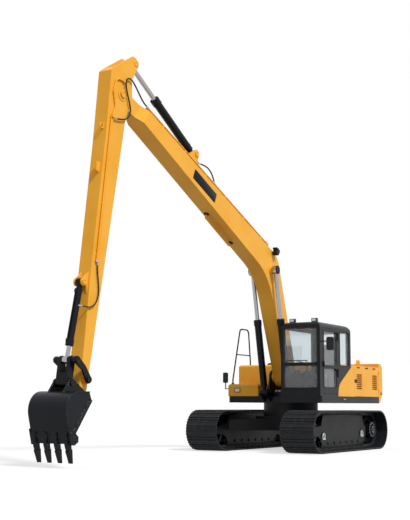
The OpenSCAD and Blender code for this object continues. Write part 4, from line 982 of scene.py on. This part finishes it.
class EXCAVATOR_OT_cab(bpy.types.Operator):
    """Seal the panes, and fit the wiper, the mirrors' glass and the lamps"""

    bl_idname = "excavator.cab"
    bl_label = "Cab fittings"

    def execute(self, context):
        low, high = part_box("cab_frame")
        front = high[0]
        self.seals(low, front)
        self.wiper(front)
        self.mirrors()
        self.lamps()
        return {"FINISHED"}

    def seals(self, low, front):
        """A rubber seal round each pane."""
        rear, inner = low[0], low[1]
        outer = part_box("cab_floor")[1][1]
        r = bpy.context.scene.excavator_sizes.seal
        seals = (
            ("front_seal", "house", 0, front, (0.495, 1.97), (1.31, 2.745)),
            ("low_front_seal", "house", 0, front, (0.495, 1.42), (1.31, 1.91)),
            ("rear_seal", "house", 0, rear, (0.53, 1.86), (1.275, 2.72)),
            ("right_seal", "house", 1, inner, (-0.28, 1.76), (1.217, 2.74)),
            ("quarter_seal", "house", 1, outer, (-0.3, 1.94), (0.247, 2.72)),
            ("door_seal", "door", 1, outer, (0.442, 1.92), (1.137, 2.69)),
            ("low_door_seal", "door", 1, outer, (0.442, 1.43), (1.137, 1.86)),
        )
        for name, body, axis, face, (a0, z0), (a1, z1) in seals:
            fit(tube(self.rounded_loop(axis, face, a0, z0, a1, z1), r, True), name, body, "hose_rubber")

    def wiper(self, front):
        """Wiper, parked along the foot of the upper screen."""
        x = front + 0.014
        boss = turned([(0.03, -0.014), (0.03, 0.01), (0.022, 0.02)])
        boss = copies(boss, [placed((front, 1.1, 1.94), FORWARD)])
        arm = tube([(x, 1.1, 1.94), (x + 0.012, 1.02, 1.965), (x + 0.008, 0.8, 2.02)], 0.007)
        blade = soften(block((x - 0.004, 0.6, 2.012), (x + 0.012, 1.08, 2.03), 0.004, 1), 0.002)
        fit(joined([boss, arm, blade]), "wiper", "house", "moulded_plastic")

    def mirrors(self):
        """Mirror glasses, on the faces that look back to the operator."""
        for name, (y0, y1), (z0, z1), x in (
            ("left_mirror_glass", (1.537, 1.683), (2.252, 2.518), 1.262),
            ("right_mirror_glass", (-1.57, -1.47), (1.572, 1.798), 0.45),
        ):
            glass = block((x - 0.004, y0, z0), (x + 0.004, y1, z1), 0.03, 0)
            fit(step_face(glass, (-1, 0, 0), 0.006, 0.001), name, "house", "mirror_glass")

    def lamps(self):
        """Lamps of roof, tool box and boom, each a bezel with a lens set in it."""
        rims, lenses = [], []
        for y in (0.63, 1.175):
            rims.append(self.bezel((1.18, y - 0.06, 2.892), (1.2, y + 0.06, 2.973)))
            lenses.append(self.lens((1.184, y - 0.05, 2.9), (1.197, y + 0.05, 2.965)))
        rims.append(self.bezel((0.553, -1.215, 1.335), (0.574, -1.065, 1.435)))
        lenses.append(self.lens((0.556, -1.203, 1.347), (0.57, -1.077, 1.423)))
        fit(joined(rims), "lamp_rims", "house", "moulded_plastic")
        fit(joined(lenses), "lamp_lenses", "house", "lamp_lens")
        spot = placed(on_boom(2.4836, 0.275, 1.7416)) @ Matrix.Rotation(math.radians(-BOOM_ANGLE), 4, "Y")
        rim = self.bezel((-0.004, -0.058, -0.068), (0.016, 0.058, 0.068))
        fit(rim, "boom_lamp_rim", "boom", "moulded_plastic", [spot])
        lens = self.lens((0.0, -0.046, -0.056), (0.013, 0.046, 0.056))
        fit(lens, "boom_lamp_lens", "boom", "lamp_lens", [spot])

    def rounded_loop(self, axis, face, a0, z0, a1, z1):
        """A rectangle with round corners on a face across X or Y."""
        r = 0.045
        rear, front, foot, head = a0 + r, a1 - r, z0 + r, z1 - r
        loop = []
        for a, z, start in ((rear, foot, 180), (front, foot, 270), (front, head, 0), (rear, head, 90)):
            for along, up in arc(r, start, start + 90, 6):
                loop.append((face, a + along, z + up) if axis == 0 else (a + along, face, z + up))
        return loop

    def bezel(self, low, high):
        """A lamp's rim, sunk in front."""
        return soften(step_face(block(low, high, 0.016, 0), FORWARD, 0.011, -0.008), 0.002)

    def lens(self, low, high):
        """A lens with a raised middle."""
        return step_face(block(low, high, 0.012, 0), FORWARD, 0.012, 0.004)


# Cushions: half the width of a seam, how thick a sewn channel is to the rest, how far a point may swell, and
# the pressure and frames of the filling.
SEAM_HALF = 0.007
CHANNEL_DEPTH = 0.86
MOST_SWELL = 0.016
PRESSURE = 4.0
FILL_FRAMES = 15


class EXCAVATOR_OT_seat(bpy.types.Operator):
    """Fill the seat's two cushions and stand them on a bellows"""

    bl_idname = "excavator.seat"
    bl_label = "Seat"

    def execute(self, context):
        low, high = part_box("seat")
        middle = (low[1] + high[1]) / 2
        base = self.cushion("seat_cushion", (0.1, middle, 1.685), (0.5, 0.46, 0.11), 0.0)
        back = self.cushion("seat_back", (-0.145, middle, 2.13), (0.09, 0.44, 0.64), math.radians(-8.3))
        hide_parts("seat")
        fit(self.bellows(middle, low[2]), "seat_bellows", "house", "moulded_plastic")
        return {"FINISHED"}

    def cushion(self, name, middle, size, lean):
        """A cushion that swells between its edges and its two sewn channels."""
        scene = bpy.context.scene
        piece = soften(block([-s / 2 for s in size], [s / 2 for s in size], 0.03), 0.02)
        pick(piece)
        piece.data.remesh_voxel_size = scene.excavator_sizes.cushion_voxel
        bpy.ops.object.voxel_remesh()
        long_way = max(range(3), key=lambda axis: size[axis])
        thin_way = min(range(3), key=lambda axis: size[axis])
        sewn = piece.vertex_groups.new(name="sewn")
        for corner in piece.data.vertices:
            along, full = abs(corner.co[long_way]), size[long_way]
            if min(abs(along - full / 6), full / 2 - along) < SEAM_HALF:
                sewn.add([corner.index], 1.0, "REPLACE")
                if along < full / 3:
                    corner.co[thin_way] *= CHANNEL_DEPTH
        self.fill(piece, sewn, MOST_SWELL)
        rounding = piece.modifiers.new("rounding", "SUBSURF")
        rounding.levels = rounding.render_levels = 1
        bpy.ops.object.modifier_apply(modifier=rounding.name)
        piece.data.transform(Matrix.Translation(middle) @ Matrix.Rotation(lean, 4, "Y"))
        return fit(piece, name, "house", "seat_cloth")

    def fill(self, piece, sewn, most):
        """Blows a cushion up as cloth, held along what is sewn; no point moves further than most."""
        scene = bpy.context.scene
        before = [corner.co.copy() for corner in piece.data.vertices]
        cloth = piece.modifiers.new("filling", "CLOTH")
        cloth.settings.use_pressure = True
        cloth.settings.uniform_pressure_force = PRESSURE
        cloth.settings.effector_weights.gravity = 0.0
        cloth.settings.vertex_group_mass = sewn.name
        for step in range(1, FILL_FRAMES + 1):
            scene.frame_set(step)
        bpy.ops.object.modifier_apply(modifier=cloth.name)
        scene.frame_set(1)
        for corner, at in zip(piece.data.vertices, before):
            move = corner.co - at
            if move.length > most:
                corner.co = at + move * (most / move.length)

    def bellows(self, middle, floor):
        """The folded rubber boot under the seat."""
        piece = block((-0.06, middle - 0.17, floor), (0.25, middle + 0.17, floor + 0.03), 0.04)
        pick(piece)
        bpy.ops.object.mode_set(mode="EDIT")
        choose_faces(piece, UP)
        height, rise, waist = floor + 0.03, 0.028, 0.86
        for scale in 5 * (waist, 1 / waist):
            height += rise
            bpy.ops.mesh.extrude_region_move(TRANSFORM_OT_translate={"value": (0, 0, rise)})
            bpy.ops.transform.resize(value=(scale, scale, 1), center_override=(0.095, middle, height))
        close_edit()
        return soften(piece, 0.004)


class EXCAVATOR_OT_bodywork(bpy.types.Operator):
    """Fit latches, wire screens, reflectors, the filler cap, louvres, handles and the valve block"""

    bl_idname = "excavator.bodywork"
    bl_label = "Bodywork fittings"

    def execute(self, context):
        tank_low, tank_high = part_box("fuel_tank")
        panel, tank_top = -tank_low[1], tank_high[2]
        box_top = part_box("toolbox")[1][2]
        self.latches(panel)
        self.screens()
        self.slots(panel)
        self.reflectors(panel)
        self.lids(tank_top, box_top)
        self.hood()
        self.hooks(panel, tank_top, box_top)
        self.valve_block()
        return {"FINISHED"}

    def latches(self, panel):
        """A latch on each side door: a cup with a paddle in it."""
        for (side, mirror), x in zip(SIDES, (-0.66, -0.96)):
            cup = band((x - 0.07, x + 0.07), (panel - 0.01, panel + 0.006), (1.57, 1.65), 0.02)
            cup = step_face(cup, LEFT, 0.008, -0.005)
            paddle = band((x - 0.035, x + 0.045), (panel - 0.008, panel + 0.007), (1.59, 1.63), 0.008)
            latch = joined([cup, soften(paddle, 0.002)])
            fit(latch, f"{side}_door_latch", f"{side}_side_door", "moulded_plastic", [mirror])

    def screens(self):
        """Wire screens behind the louvres of the side doors."""
        for (side, mirror), first in zip(SIDES, ((-1.07, -0.7), (-1.368, -0.998))):
            screens = [band(span, (1.336, 1.35), (1.4, 1.8), 0.01) for span in ((-2.055, -1.685), first)]
            screens = [step_face(screen, (0, -1, 0), 0.015, -0.004) for screen in screens]
            fit(joined(screens), f"{side}_door_screens", f"{side}_side_door", "woven_wire", [mirror])

    def slots(self, panel):
        """Air slots along the side doors' upper edge, each a pressed rubber insert."""
        depth = (panel - 0.006, panel + 0.004)
        for (side, mirror), xs in zip(SIDES, ((-0.826, -1.34, -1.82), (-1.1, -1.46, -1.82))):
            slots = [band((x - 0.09, x + 0.09), depth, (1.915, 1.945), 0.012) for x in xs]
            slots = [step_face(slot, LEFT, 0.006, -0.003) for slot in slots]
            fit(joined(slots), f"{side}_door_slots", f"{side}_side_door", "hose_rubber", [mirror])

    def reflectors(self, panel):
        """Reflectors: one on each side of the counterweight and two on its round back."""
        plate = step_face(block((-0.055, -0.035, -0.004), (0.055, 0.035, 0.006), 0.012), UP, 0.006, 0.003)
        tail = 2.75
        turn = math.radians(158)
        back = Vector((tail * math.cos(turn), tail * math.sin(turn), 1.5))
        spots = [placed((-2.29, panel, 1.33), LEFT), placed(back, (back.x, back.y, 0), math.pi / 2)]
        fit(plate, "reflectors", "house", "reflector_acrylic", both_sides(spots))

    def lids(self, tank_top, box_top):
        """Filler cap of the tank, and the two latches of the tool box."""
        steps = [(0.085, -0.004), (0.085, 0.012), (0.066, 0.016), (0.066, 0.05), (0.058, 0.056)]
        filler = (-0.5, -0.8, tank_top)
        cap = copies(turned([*steps, (0.03, 0.056), (0.026, 0.066)], 28), [placed(filler)])
        rib = block((0.064, -0.006, 0.018), (0.072, 0.006, 0.048), 0.003)
        ribs = copies(rib, [placed(filler, UP, i * math.pi / 6) for i in range(12)])
        fit(joined([cap, ribs]), "filler_cap", "house", "moulded_plastic")
        hasp = soften(block((-0.03, -0.045, -0.004), (0.03, 0.045, 0.008), 0.012), 0.002)
        hasp = step_face(hasp, UP, 0.012, 0.008)
        spots = [placed((x, -1.1, box_top)) for x in (0.15, 0.38)]
        fit(hasp, "tool_box_latches", "house", "zinc_plate", spots)

    def hood(self):
        """Louvres of the hood, pressed in rows, and its two grab handles."""
        low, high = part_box("hood")
        louvre = block((-0.012, -0.24, -0.004), (0.03, 0.24, 0.004), 0.01)
        louvre = soften(step_face(louvre, UP, 0.006, 0.012), 0.003)
        spots = [placed((low[0] + 0.22 + i * 0.075, y, high[2])) for i in range(7) for y in (-0.36, 0.36)]
        fit(louvre, "hood_louvres", "hood", "amber_enamel", spots)
        grip = self.handle(0.22, 0.055)
        spots = [placed((high[0] - 0.08, y, high[2]), UP, math.pi / 2) for y in (-0.4, 0.4)]
        fit(grip, "hood_handles", "hood", "charcoal_enamel", spots)

    def hooks(self, panel, tank_top, box_top):
        """Lashing hooks under the side doors, and the feet of the handrail."""
        hook = self.handle(0.09, 0.04)
        fit(hook, "lashing_hooks", "house", "zinc_plate", both_sides([placed((0.07, panel, 1.175), LEFT)]))
        foot = turned([(0.045, -0.006), (0.045, 0.008), (0.026, 0.012), (0.022, 0.03)])
        foot = joined([foot, bolt_circle(4, 0.036, 0.009, 0.006)])
        spots = [placed((0.48, -1.31, box_top)), placed((-0.4, -1.31, tank_top))]
        fit(foot, "handrail_feet", "house", "charcoal_enamel", spots)

    def valve_block(self):
        """Valve block between the boom plates, with its pipe unions."""
        valve = soften(block((0.36, -0.2, 1.236), (0.55, 0.2, 1.33), 0.02), 0.004)
        fit(step_face(valve, UP, 0.02, 0.012), "valve_block", "house", "charcoal_enamel")
        steps = [(0.02, -0.004), (0.02, 0.012), (0.026, 0.014), (0.026, 0.03), (0.016, 0.033), (0.016, 0.04)]
        union = turned(steps, 12)
        spots = [placed((x, y, 1.342)) for x in (0.42, 0.49) for y in (-0.14, -0.05, 0.05, 0.14)]
        fit(union, "valve_unions", "house", "zinc_plate", spots)

    def handle(self, wide, high):
        """A bent grab handle that stands on its two ends."""
        r = high * 0.5
        bends = []
        for middle, start in ((-wide / 2 + r, 180), (wide / 2 - r, 90)):
            bends += [(middle + x, 0, high - r + z) for x, z in arc(r, start, start - 90, 6)]
        return tube([(-wide / 2, 0, -0.004), *bends, (wide / 2, 0, -0.004)], 0.009, steps=3)


class EXCAVATOR_OT_boom(bpy.types.Operator):
    """Fit the boom's plates, bar and pipe ends, the arm's lifting eye and stop, and the bucket's bolts"""

    bl_idname = "excavator.boom"
    bl_label = "Boom, arm and bucket fittings"

    def execute(self, context):
        self.blank_plates()
        self.under_bar()
        self.pipe_ends()
        self.arm_front()
        self.bucket_bolts()
        return {"FINISHED"}

    def blank_plates(self):
        """Blank plates on both sides of the boom, riveted along their edges."""
        slope = math.radians(BOOM_ANGLE - 12.76)
        half = 0.18
        plate = soften(block((-0.47, -0.11, -0.002), (0.47, 0.11, 0.005), 0.025), 0.0015)
        xs, ys = (-0.44, -0.15, 0.15, 0.44), (-0.085, 0.085)
        heads = [Matrix.Translation((x, y, 0.004)) for x in xs for y in ys]
        rivets = copies(turned([(0.009, -0.002), (0.009, 0.001), (0.006, 0.004)], 12), heads)
        plate = joined([plate, rivets])
        side = Matrix(((1, 0, 0, 0), (0, 0, -1, 0), (0, 1, 0, 0), (0, 0, 0, 1)))
        spot = Matrix.Translation(on_boom(5.46, -half, 0.745)) @ Matrix.Rotation(-slope, 4, "Y") @ side
        fit(plate, "blank_plates", "boom", "slate_enamel", both_sides([spot]))

    def under_bar(self):
        """A bar along the boom's underside, right of its middle, on two bolted feet; the feet are dark slate,
        partly as painted shade at the bar's ends.
        """
        ends = [on_boom(4.768, -0.093, 0.668), on_boom(3.654, -0.093, 0.889)]
        out = (ends[1] - ends[0]).cross(Vector(LEFT)).normalized()
        low = [at + out * 0.08 for at in ends]
        bends = [low[0].lerp(low[1], t) for t in (0.03, 0.5, 0.97)]
        first, last = [end.lerp(foot, 0.6) for end, foot in zip(ends, low)]
        bar = tube([ends[0], first, *bends, last, ends[1]], 0.034, steps=3)
        fit(bar, "under_bar", "boom", "amber_enamel")
        # Dark slate feet: partly dark bolted brackets, partly painted shade where the bar's ends meet the
        # boom.
        foot = turned([(0.058, -0.008), (0.058, 0.012), (0.046, 0.018), (0.04, 0.04)])
        foot = joined([foot, bolt_circle(4, 0.051, 0.012, 0.006)])
        fit(foot, "under_bar_feet", "boom", "slate_enamel", [placed(at, out) for at in ends])

    def pipe_ends(self):
        """The block that the boom's pipes come out of, and plugs for the lines without a hose."""
        start, run = (2.7473, 1.717), Vector((0.96934, 0, -0.24569))
        fall = math.radians(BOOM_ANGLE) + math.atan2(run.z, run.x)
        outlet = soften(block((-0.07, 0.1, -0.055), (0.05, 0.18, 0.032), 0.02, 1), 0.005)
        spots = [Matrix.Translation((x, y, 0.03)) for x in (-0.05, 0.03) for y in (0.115, 0.165)]
        heads = copies(bolt(0.009), spots)
        spot = Matrix.Translation(on_boom(start[0], 0, start[1])) @ Matrix.Rotation(-fall, 4, "Y")
        fit(joined([outlet, heads]), "pipe_outlet", "boom", "amber_enamel", [spot])
        boom_end = Vector((7.7952, 0.125, 0.4375))
        for name, body, end, on in (
            ("boom_pipe_plug", "boom", on_boom(*boom_end), on_boom(*(boom_end + run))),
            ("arm_pipe_plug", "arm", on_arm(3.254, 0.162, 0.128), on_arm(4.254, 0.162, 0.0837)),
        ):
            steps = [(0.018, -0.012), (0.018, 0.004), (0.021, 0.006), (0.021, 0.024), (0.016, 0.029)]
            plug = turned(steps, 6)
            fit(plug, name, body, "zinc_plate", [placed(end, on - end)])

    def arm_front(self):
        """Lifting eye and cylinder stop on the arm's front."""
        r = 0.045
        eye = tube([(x, 0, r + z) for x, z in arc(r, -60, 240, 20)], 0.011, steps=3)
        foot = soften(block((-0.05, -0.025, -0.02), (0.05, 0.025, 0.012), 0.012), 0.003)
        way = on_arm(0.0, 0, 1.0) - on_arm(0.0, 0, 0.0)
        spot = placed(on_arm(0.78, 0.06, 0.331), way, math.pi / 2)
        fit(joined([eye, foot]), "lifting_eye", "arm", "amber_enamel", [spot])
        stop = soften(block((-0.02, -0.09, -0.03), (0.02, 0.09, 0.085), 0.02, 0), 0.004)
        fit(stop, "cylinder_stop", "arm", "amber_enamel", [placed(on_arm(1.56, 0.06, 0.292), way)])

    def bucket_bolts(self):
        """The pins of the bucket's teeth, and the bolts of its side cutters."""
        lip = BUCKET_PIN + Vector((0.60601, 0, -0.75903))
        tip = math.radians(-16)
        down = Vector((math.sin(tip), 0, -math.cos(tip)))
        out = Vector((-down.z, 0, down.x))
        pin = turned([(0.013, -0.004), (0.013, 0.003), (0.009, 0.006)], 14)
        spots = []
        for i in range(4):
            y = -0.33 + i * 0.22
            for face in (-1, 1):
                at = lip + down * 0.07 - out * 0.008 + Vector((0, y + face * 0.0357, 0))
                spots.append(placed(at, (0, face, 0)))
        fit(pin, "tooth_pins", "bucket", "scuffed_plate", spots)
        spots = [
            placed(lip + down * a + out * b + Vector((0, 0.424, 0)), LEFT)
            for a, b in ((-0.17, -0.025), (-0.09, -0.07), (-0.01, -0.11))
        ]
        fit(bolt(0.015), "cutter_bolts", "bucket", "scuffed_plate", both_sides(spots))


class EXCAVATOR_PT_panel(bpy.types.Panel):
    """The dressing steps, in order"""

    bl_label = "Excavator"
    bl_idname = "EXCAVATOR_PT_panel"
    bl_space_type = "VIEW_3D"
    bl_region_type = "UI"
    bl_category = "Excavator"

    def draw(self, context):
        for step in OPERATORS:
            self.layout.operator(step.bl_idname)


OPERATORS = (
    EXCAVATOR_OT_stage,
    EXCAVATOR_OT_finishes,
    EXCAVATOR_OT_hoses,
    EXCAVATOR_OT_tracks,
    EXCAVATOR_OT_pins,
    EXCAVATOR_OT_cab,
    EXCAVATOR_OT_seat,
    EXCAVATOR_OT_bodywork,
    EXCAVATOR_OT_boom,
)
CLASSES = (ExcavatorColours, ExcavatorSizes, *OPERATORS, EXCAVATOR_PT_panel)


def register():
    for cls in CLASSES:
        bpy.utils.register_class(cls)
    bpy.types.Scene.excavator_colours = PointerProperty(type=ExcavatorColours)
    bpy.types.Scene.excavator_sizes = PointerProperty(type=ExcavatorSizes)


def unregister():
    del bpy.types.Scene.excavator_sizes
    del bpy.types.Scene.excavator_colours
    for cls in reversed(CLASSES):
        bpy.utils.unregister_class(cls)


def main():
    """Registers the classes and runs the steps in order."""
    register()
    for step in OPERATORS:
        group, name = step.bl_idname.split(".")
        getattr(getattr(bpy.ops, group), name)()


if __name__ == "__main__":
    main()
